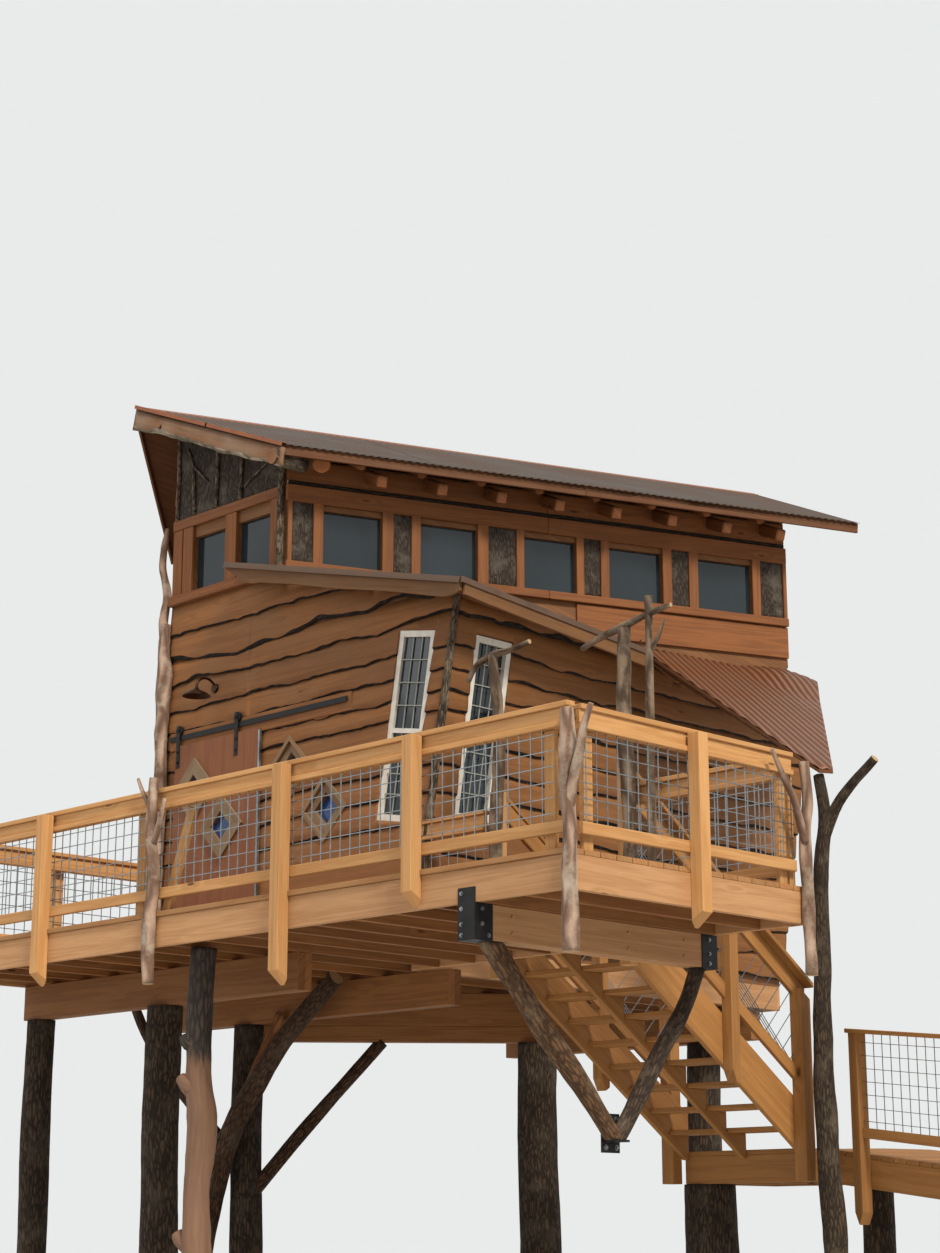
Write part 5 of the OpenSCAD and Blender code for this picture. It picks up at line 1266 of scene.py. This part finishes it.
limbs(gate,
      (upright(2.31, (-1.52, 0), (-1.505, 0.7), (-1.545, 1.4), (-1.52, 2.13)), [0.05, 0.052, 0.058, 0.05],
       22, 0.06, 0.16, 3.5),
      (upright(2.31, (-1.295, 0), (-1.285, 1.2), (-1.275, 2.34)), [0.036, 0.034, 0.028], 18, 0.06, 0.12, 3),
      (upright(2.31, (-1.055, 2.23), (-1.275, 2.2), (-1.52, 2.15), (-1.74, 2.11), (-1.96, 2.045)),
       [0.018, 0.026, 0.03, 0.026, 0.02], 16, 0.045, 0.18, 5),
      (upright(2.31, (-1.28, 1.9), (-1.19, 2.0), (-1.13, 2.13)), [0.02, 0.016, 0.01], 10, 0.04, 0.1),
      (upright(2.37, (-2.95, 0), (-2.96, 0.8), (-2.92, 1.5), (-2.99, 2.19)), [0.06, 0.054, 0.05, 0.04],
       22, 0.06, 0.14, 3),
      (upright(2.37, (-3.27, 2.02), (-3.185, 2.13), (-3.0, 2.2), (-2.8, 2.2), (-2.58, 2.235)),
       [0.02, 0.026, 0.032, 0.024, 0.02], 16, 0.045, 0.18, 5))
settle(gate, "stair_head_posts", [porch_wood, sawn_end], "peeled_log", "porch_logs")
limbs(corner,
      (upright(wall_y - 0.06, (0, 0.0), (-0.015, 0.9), (0.025, 1.6), (-0.01, 2.2), (0.03, 2.72), (-0.01, 3.0),
               (0.01, 3.28), x=left_x - 0.04), [0.078, 0.07, 0.066, 0.074, 0.088, 0.07, 0.05], 28, 0.05, 0.16, 3.2),
      (upright(wall_y - 0.06, (0, 2.95), (-0.04, 3.33), (-0.005, 3.56), (-0.085, 3.85), (-0.075, 4.05), (-0.03, 4.25),
               x=left_x - 0.04), [0.055, 0.042, 0.042, 0.034, 0.034, 0.018], 20, 0.04, 0.18, 5))
for v in corner.verts:
    if v.co.x > left_x - 0.003 and v.co.y > wall_y - 0.05:
        v.co.y = wall_y - 0.05
settle(corner, "cabin_corner_trunk", [silver_wood, sawn_end], "peeled_log", "corner_post")
fork_y, fork_x = 4.469, -1.385
limbs(fork,
      (upright(fork_y, (0.03, foot_z), (0.025, -2.38), (-0.025, -1.33), (0, -0.22), (0.03, 0.5), (0.085, 0.9),
               x=fork_x) + [(-1.345, fork_y, 1.27)],
       [0.108, 0.092, 0.085, 0.067, 0.064, 0.052, 0.042], 22, 0.08, 0.12, 2.4),
      (upright(fork_y, (0.045, 0.7), (0.225, 1.02), (0.595, 1.33), x=fork_x), [0.052, 0.042, 0.036],
       16, 0.06, 0.12, 3))
forked_bark = bark("forked trunk bark", "251c15", "50412f", "6b6050", furrow=40.0, depth=0.004, patches=0.4)
settle(fork, "forked_trunk", [forked_bark, sawn_end], "log_bark", "forked_post")


# The stair and its landing: treads housed between two wide stringers, a sloping handrail with
# mesh under it, and a square landing on a thick log.
riser, going, stair_drop, steps = 0.167, 0.246, 1.67, 9
stair_left, stair_right = -3.01, -1.75
run_y, stair_w, stringer_t, stringer_d, slim = going * steps, 1.26, 0.045, 0.26, 0.038
landing_y = deck_depth + run_y
stair_wood = timber("stair timber", "b07c46", "885c2d", "4e3017", spread=0.18)
stairs, treads, handrails, sloped_mesh, platform, stumps = (bmesh.new() for k in range(6))
eased_cut = [eased_edges(1)]


def side_board(bm, outline, x, thick, stands=False):
    """A board cut to an outline in the plane of the stair's side, with its grain on the slope unless it stands."""
    first = len(bm.faces)
    face = bm.faces.new([bm.verts.new((x, deck_depth + y, z)) for y, z in outline])
    grown = bmesh.ops.extrude_face_region(bm, geom=[face])["geom"]
    bmesh.ops.translate(bm, verts=[g for g in grown if isinstance(g, bmesh.types.BMVert)], vec=(thick, 0, 0))
    bm.faces.ensure_lookup_table()
    grain = bm.loops.layers.uv.verify()
    board_no[0] += 1
    slope = Z if stands else Vector((0, going, -riser)).normalized()
    across, shift = Vector((0, slope.z, -slope.y)), 10 * (board_no[0] % 97)
    for cut_face in bm.faces[first:]:
        for corner in cut_face.loops:
            spot = corner.vert.co
            corner[grain].uv = (spot.dot(slope) + board_no[0], spot.dot(across) + spot.x * 0.5 + shift)


steep = riser / going
low = riser - stair_drop - stringer_d + 0.025
top_lip = 0.14
stringer_foot = [(run_y, low), ((-low - stringer_d) / steep, low), (0, -stringer_d)]
stringer_top = [(0, -board_t), ((top_lip + board_t) / steep, -board_t), (run_y, top_lip - run_y * steep)]
for x in (stair_left, stair_right - stringer_t):
    side_board(stairs, stringer_top + stringer_foot, x, stringer_t)
saw = [((i + k) * going, -(i + 1) * riser - slim) for i in range(steps) for k in (0, 1)]
side_board(stairs, saw + stringer_foot, -2.4025, stringer_t)
settle(stairs, "stringers", [stair_wood], "new_timber", "stair_stringers", shape=eased_cut)
for i in range(steps):
    for half in (0, 1):
        foot = (stair_left + stringer_t, deck_depth + i * going + 0.002 + half * 0.121, -(i + 1) * riser - slim)
        board(treads, foot, X, Y, 1.17, 0.119, slim)
settle(treads, "treads", [stair_wood], "new_timber", "stair_treads")

mid_at, last = 0.56 * run_y, run_y - 0.16
tip, mid_low, mid_high, last_high = -mid_at * steep, mid_at - 0.05, mid_at + 0.05, last + 0.12


def sloped(y0, y1, top, low):
    return [(y, level - y * steep) for y, level in ((y0, low), (y1, low), (y1, top), (y0, top))]


for side_x, inner_x, rail_x in ((stair_right, stair_right, stair_right + 0.005),
                                (stair_left - 0.12, stair_left - 0.12 + 0.02, stair_left - 0.043)):
    side_board(handrails, [(mid_low, tip - 0.27), (mid_at, tip - 0.37), (mid_high, tip - 0.34), (mid_high, tip + 1.0),
                           (mid_low, tip + 1.05)], inner_x, post_s, stands=True)
    side_board(handrails, [(last, -1.933), (last_high, -1.933), (last_high, 0.97 - last_high * steep),
                           (last, 0.97 - last * steep)], side_x, 0.12, stands=True)
    for y0, y1, top, low_at, x, thick in ((0.1, run_y, 1.13, 1.09, side_x - 0.01, 0.14),
                                          (0.1, run_y - 0.01, 1.09, 0.93, rail_x, 0.04),
                                          (0.1, mid_low, 0.37, 0.25, rail_x, slim),
                                          (mid_high, last, 0.37, 0.25, rail_x, slim)):
        side_board(handrails, sloped(y0, y1, top, low_at), x, thick)
settle(handrails, "stair_handrails", [stair_wood], "new_timber", "stair_railing", shape=eased_cut)
mesh_pitch, wire = 0.1016, 0.005
for x in (stair_right + 0.022, stair_left - 0.026):
    for low_y, high_y in ((0.1, mid_low), (mid_high, last)):
        y = low_y
        while y < high_y - 0.03:
            z = 0.37 - y * steep
            for lean_on in (1, -1):
                reach = min(0.56 / (1 + lean_on * steep), (high_y - y) if lean_on > 0 else (y - low_y))
                if reach > 0.05:
                    board(sloped_mesh, (x, deck_depth + y, z), (0, lean_on, 1), X, reach * 1.414, wire, wire, 0)
            y += mesh_pitch
settle(sloped_mesh, "stair_mesh", [galvanised], "wire")

for i in range(8):
    board(platform, (stair_left, landing_y + i * 0.15, -stair_drop - slim), X, Y, stair_w, 0.144, slim)
low = -stair_drop - board_t - joist_d
for y in (joist_t, 1.2):
    board(platform, (stair_left, landing_y + y, low), X, Z, stair_w, joist_d, joist_t)
for x in (stair_left, stair_left + 0.38, stair_left + 0.78, stair_right - joist_t):
    board(platform, (x, landing_y + joist_t, low), Y, Z, 1.116, joist_d, joist_t)
settle(platform, "landing_boards", [stair_wood], "new_timber", "landing")
limbs(stumps,
      (upright(4.854, (-2.9, foot_z), (-2.9, -3.0), (-2.9, low)), [0.24, 0.228, 0.215], 26, 0.09, 0.04),
      (upright(5.754, (-1.86, foot_z), (-1.86, low)), [0.145, 0.13], 18, 0.09, 0.04))
settle(stumps, "landing_trunks", [dark_bark, sawn_end], "log_bark", "landing_logs")


# The ramp: a short boardwalk that leaves the landing on a slight slope, with a plumb railing
# meshed as the balcony's is, on two legs at its far end.
ramp_tilt, ramp_heading = math.radians(6.5), math.radians(-15)
ramp_place = (Matrix.Translation((stair_right, landing_y + 0.26, -stair_drop))
              @ Matrix.Rotation(ramp_heading, 4, "Z"))
ramp_turn = ramp_place @ Matrix.Rotation(ramp_tilt, 4, "Y")
plumb = ramp_place @ Matrix(((1, 0, 0, 0), (0, 1, 0, 0), (-math.tan(ramp_tilt), 0, 1, 0), (0, 0, 0, 1)))
ramp_len, ramp_w, ramp_back, ramp_pitch = 3.2, 1.26, 0.35, 0.148
ramp, ramp_rails, ramp_mesh, legs = (bmesh.new() for k in range(4))
for i in range(math.floor((ramp_len + ramp_back) / ramp_pitch)):
    board(ramp, (ramp_len - (i + 1) * ramp_pitch, 0, -board_t), Y, X, ramp_w, 0.14, -board_t)
for y in (0.0, (ramp_w - joist_t) / 2, ramp_w - joist_t):
    board(ramp, (-ramp_back, y + joist_t, -board_t - joist_d), X, Z, ramp_len + ramp_back, joist_d, joist_t)
bmesh.ops.transform(ramp, verts=ramp.verts, matrix=ramp_turn)
trim(ramp, (stair_right + 0.0005, 0, 0), -X)
settle(ramp, "ramp_boards", [stair_wood], "new_timber", "ramp_deck")
for y in (-post_s, ramp_w):
    for s in (0.45, 1.8, 3.15):
        post = bmesh.new()
        board(post, (s, y, -0.54), Z, X, 1.48, post_s, post_s)
        for sign in (1, -1):
            trim(post, (s + 0.05, 0, -0.54), (0.8 * sign, 0, -0.4))
        join(ramp_rails, post)
    board(ramp_rails, (0.43, y - 0.02, 0.935), X, Y, 2.84, 0.14, cap_t)
    for s in (0.55, 1.9):
        board(ramp_rails, (s, y + 0.03 + slim, 0.125), X, Z, 1.25, 0.08, slim)
bmesh.ops.transform(ramp_rails, verts=ramp_rails.verts, matrix=plumb)
settle(ramp_rails, "ramp_rails", [stair_wood], "new_timber", "ramp_railing")
for y in (-post_s + 0.046, ramp_w + 0.046):
    for s in (0.55, 1.9):
        for k in range(12):
            board(ramp_mesh, (s + 0.05 + mesh_pitch * k, y, 0.2), Z, X, 0.737, wire, wire, 0)
        for k in range(7):
            board(ramp_mesh, (s, y, 0.255 + mesh_pitch * k), X, Z, 1.25, wire, -wire, 0)
bmesh.ops.transform(ramp_mesh, verts=ramp_mesh.verts, matrix=plumb)
settle(ramp_mesh, "ramp_mesh", [galvanised], "wire")
for y in (joist_t / 2, ramp_w - joist_t / 2):
    top = ramp_turn @ Vector((2.95, y, -0.264))
    limb(legs, [(top.x, top.y, z) for z in (foot_z, (foot_z + top.z) / 2, top.z)], [0.066, 0.065, 0.062],
         18, 0.09, 0.06, 2)
settle(legs, "ramp_trunks", [dark_bark, sawn_end], "log_bark", "ramp_legs")
